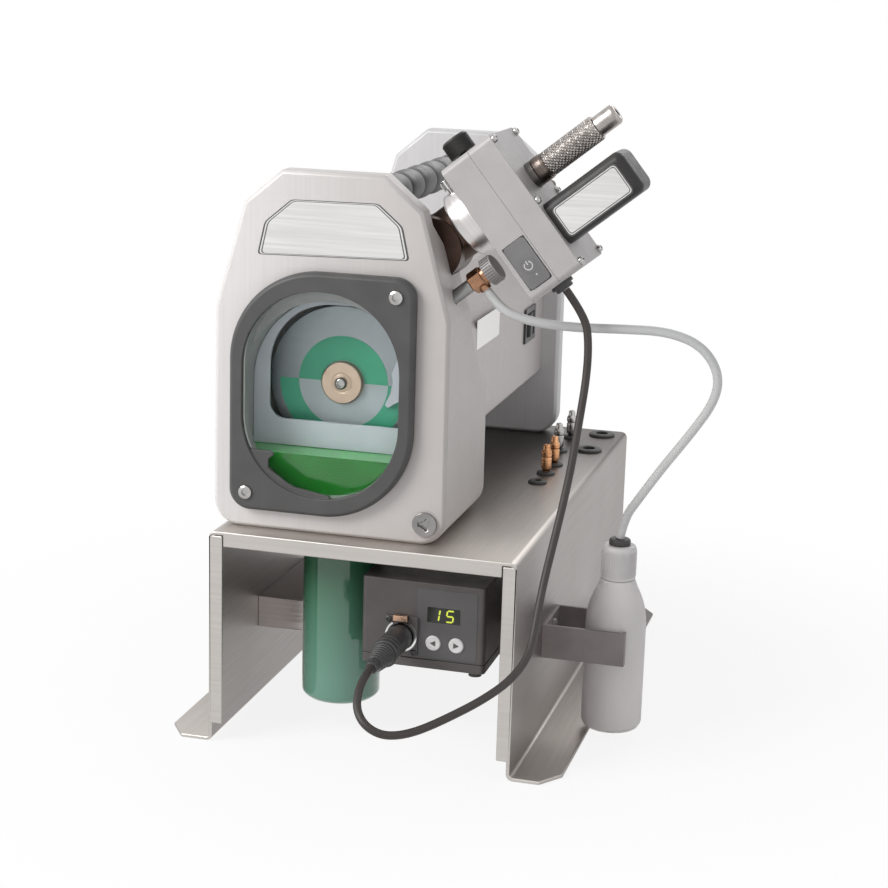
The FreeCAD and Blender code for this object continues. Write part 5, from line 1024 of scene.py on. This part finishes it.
figure_glow, tree = finish_of("figure_glow", (0.55, 0.62, 0.05), 0.4,
                              emission_color=(0.70, 0.80, 0.06, 1), emission_strength=0.35)
clouded(tree, 900, (0.50, 0.56, 0.04), (0.62, 0.70, 0.07))


def seven_segments(lit, left, low, wide, tall):
    """The lit bars of one slanted numeral."""
    THICK, GAP, TIP, LEAN, RISE = 1.2, 0.66, 0.132, 0.14, 0.42
    half = tall / 2
    bars = {"a": (0, tall, wide), "b": (wide, half, half), "c": (wide, 0, half), "d": (0, 0, wide),
            "e": (0, 0, half), "f": (0, half, half), "g": (0, half, wide)}
    made = []
    for bar in lit:
        x, z, length = bars[bar]
        shape = [(GAP, -THICK / 2), (length - GAP, -THICK / 2), (length - TIP, 0), (length - GAP, THICK / 2),
                 (GAP, THICK / 2), (TIP, 0)]
        if bar in "bcef":
            shape = [(-v, u) for u, v in shape]
        outline = [(left + x + u + LEAN * (z + v), low + z + v) for u, v in shape]
        made.append(plate(outline, RISE, box_at, 0.03))
    return made


figures = seven_segments("bc", 33.4, 115.8, 4.4, 8.8) + seven_segments("afgcd", 43.6, 115.8, 5.2, 8.8)
fix("figures", joined(*figures), figure_glow, "control_shell")
key_grey = moulded("key_grey", (0.66, 0.64, 0.63), 0.42, 1000, 0.12)
key_deep = back_of("left_button") - front_of("left_button")
for node, x, way in (("left_button", 34.25, -1), ("right_button", 52.25, 1)):
    key_at = at(x, back_of("left_button"), 98, TO_FRONT)
    key_profile = eased([(0, 0), (5.9, 0), (5.9, key_deep - 0.8), (5.4, key_deep - 0.15), (4.4, key_deep),
                         (0, key_deep - 0.25)], 0.25)
    make(node + "_cap", lathe(key_profile, key_at, 56), key_grey, node)
    arrow = [(-2 * way, -2.3), (2.4 * way, 0), (-2 * way, 2.3)]
    outline = rounded(arrow if way > 0 else arrow[::-1], 0.4)
    arrow_at = key_at @ at(0, 0, key_deep - 0.24)
    fix(node + "_arrow", plate(outline, 0.28, arrow_at, 0.03), plate_dark, node)

# Panel socket: a black square-flanged socket riveted to the box's front. A plated ring lines its mouth,
# open at the top for a copper spring latch. The cable's plug is pushed in it.

softened("panel_socket", "socket_shell", 0.4, box_black, 2)
SOCKET_FRONT = front_of("panel_socket")
LATCH_GAP_FROM, LATCH_GAP_TO = 56, 124
ring_place = at(SOCKET_X, SOCKET_FRONT + 0.2, SOCKET_Z, TO_FRONT)
socket_ring = arc_band(10.9, 12.4, LATCH_GAP_TO, LATCH_GAP_FROM + 360, 0.6, ring_place, 72)
fix("socket_ring", socket_ring, plated, "panel_socket")
latch_copper = worked_metal("latch_copper", (0.50, 0.30, 0.20), (0.74, 0.50, 0.36), 0.28, (200, 200, 200), 40)
softened("socket_latch", "latch", 0.3, latch_copper)
RIVET_OUT, RIVET_UP = 10, 12.6
rivet_places = [at(SOCKET_X - RIVET_OUT * side, SOCKET_FRONT, SOCKET_Z + RIVET_UP * side, TO_FRONT)
                for side in (1, -1)]
rivet = socket_head(2.6, 1.4, 1.2, 0.8, 24)
goes_on(each_in_place("socket_rivets", rivet, rivet_places, switch_black), "panel_socket")

# Sludge jar: a deep green glossy jar, screwed up into a black collar under the stand's top. Its colour is
# painted darker towards the top, as shade under the stand's top. The casing drains into it.

jar_green, tree = finish_of("jar_green", (0.09, 0.22, 0.13), 0.12, coat_weight=0.6, coat_roughness=0.05)
# Painted shade: the jar's colour darkens from low to high, towards the stand's top.
tinted(tree, along(tree, "Z", 50, 140), (0.115, 0.275, 0.20), (0.03, 0.13, 0.06))
glossed(tree, grain(tree, 60), 0.08, 0.16)
raised(tree, grain(tree, 30), 0.03, 0.001)
JAR_AT = at(-55.75, -156, 0)
jar_profile = eased([(0, 28), (27.5, 28), (31, 31.5), (31, 160.8), (29, 160.8), (29, 31), (0, 31)], 1.6)
make("jar", lathe(jar_profile, JAR_AT, 112), jar_green, "sludge_jar")
collar_black = moulded("collar_black", (0.06, 0.058, 0.057), 0.45, 900, 0.2)
ring_profile = eased([(31.3, 161), (31.3, 148), (33.4, 148), (33.6, 148.6), (33.6, 167.4), (33, 168),
                      (9, 168), (9, 161)], 0.3)
ring_ribs = ribbed("collar", 72, 34, 16.4, 1.1, 0.9, collar_black)
ring_ribs.transform(at(0, 0, 149.4))
jar_ring = joined(lathe(ring_profile, steps=112, closed=True), ring_ribs)
jar_ring.transform(JAR_AT)
make("jar_ring", jar_ring, collar_black, "jar_collar")

# Drip bottle: milky blown polyethylene with a long sloping shoulder, a moulded white cap and a rubber
# grommet that holds the hose.

bottle_milk, tree = finish_of("bottle_milk", (0.89, 0.865, 0.86), 0.46, transmission_weight=0.45, ior=1.15)
clouded(tree, 12, (0.86, 0.835, 0.83), (0.92, 0.895, 0.89))
glossed(tree, grain(tree, 90), 0.42, 0.52)
raised(tree, grain(tree, 25), 0.04, 0.001)
BOTTLE_Y = -98.5
BOTTLE_AT = at(153.25, BOTTLE_Y, 0)
foot = eased([(0, 8.6), (18, 7.6), (21, 7), (24, 11), (24, 20)], 2)
slope = eased([(24, 80), (24, 93), (23.4, 100.8), (21.6, 109.6), (18.6, 117.4), (15.6, 123.7),
               (13.4, 129.6)], 5)
neck = [(11, 130), (11, 154), (9.4, 154), (9.4, 129)]
inner_slope = [(r - 1.6, z - 0.8) for r, z in reversed(slope)]
bottle_profile = foot + slope + neck + inner_slope + [(22.4, 12), (20, 9.4), (0, 10.2)]
make("bottle", lathe(bottle_profile, BOTTLE_AT, 96), bottle_milk, "drip_bottle")
cap_white = moulded("cap_white", (0.66, 0.64, 0.63), 0.42, 900, 0.15, 0.05)
top_profile = eased([(11.2, 130.2), (13.4, 130.2), (13.5, 131), (13.5, 154.6), (12.6, 156.4), (11.6, 157),
                     (6.5, 157), (6.5, 154), (11.2, 154)], 0.4)
top_ribs = ribbed("cap", 60, 13.9, 20, 0.8, 0.7, cap_white)
top_ribs.transform(at(0, 0, 132.5))
bottle_top = joined(lathe(top_profile, steps=96, closed=True), top_ribs)
bottle_top.transform(BOTTLE_AT)
make("bottle_top", bottle_top, cap_white, "bottle_cap")
stopper_profile = eased([(0, 154), (6.5, 154), (6.5, 157), (8.5, 157), (8.5, 160.8), (7.4, 162),
                         (0, 162)], 0.9)
make("stopper", lathe(stopper_profile, BOTTLE_AT, 48), soft_rubber, "cap_grommet")

# Bottle clip: a bent dark spring-steel clip, painted and held to the stand's right leg by one screw.
# Its arms spring round the bottle.

clip_grey = moulded("clip_grey", (0.25, 0.22, 0.212), 0.4, 700, 0.15)
softened("bottle_clip", "clip", 0.3, clip_grey)
screw_place = at(102.75, BOTTLE_Y, 84, TO_RIGHT)
clip_screw = each_in_place("clip_screw", socket_head(6, 3.4, 2, 1.4), [screw_place], clip_grey)
goes_on(clip_screw, "bottle_clip")
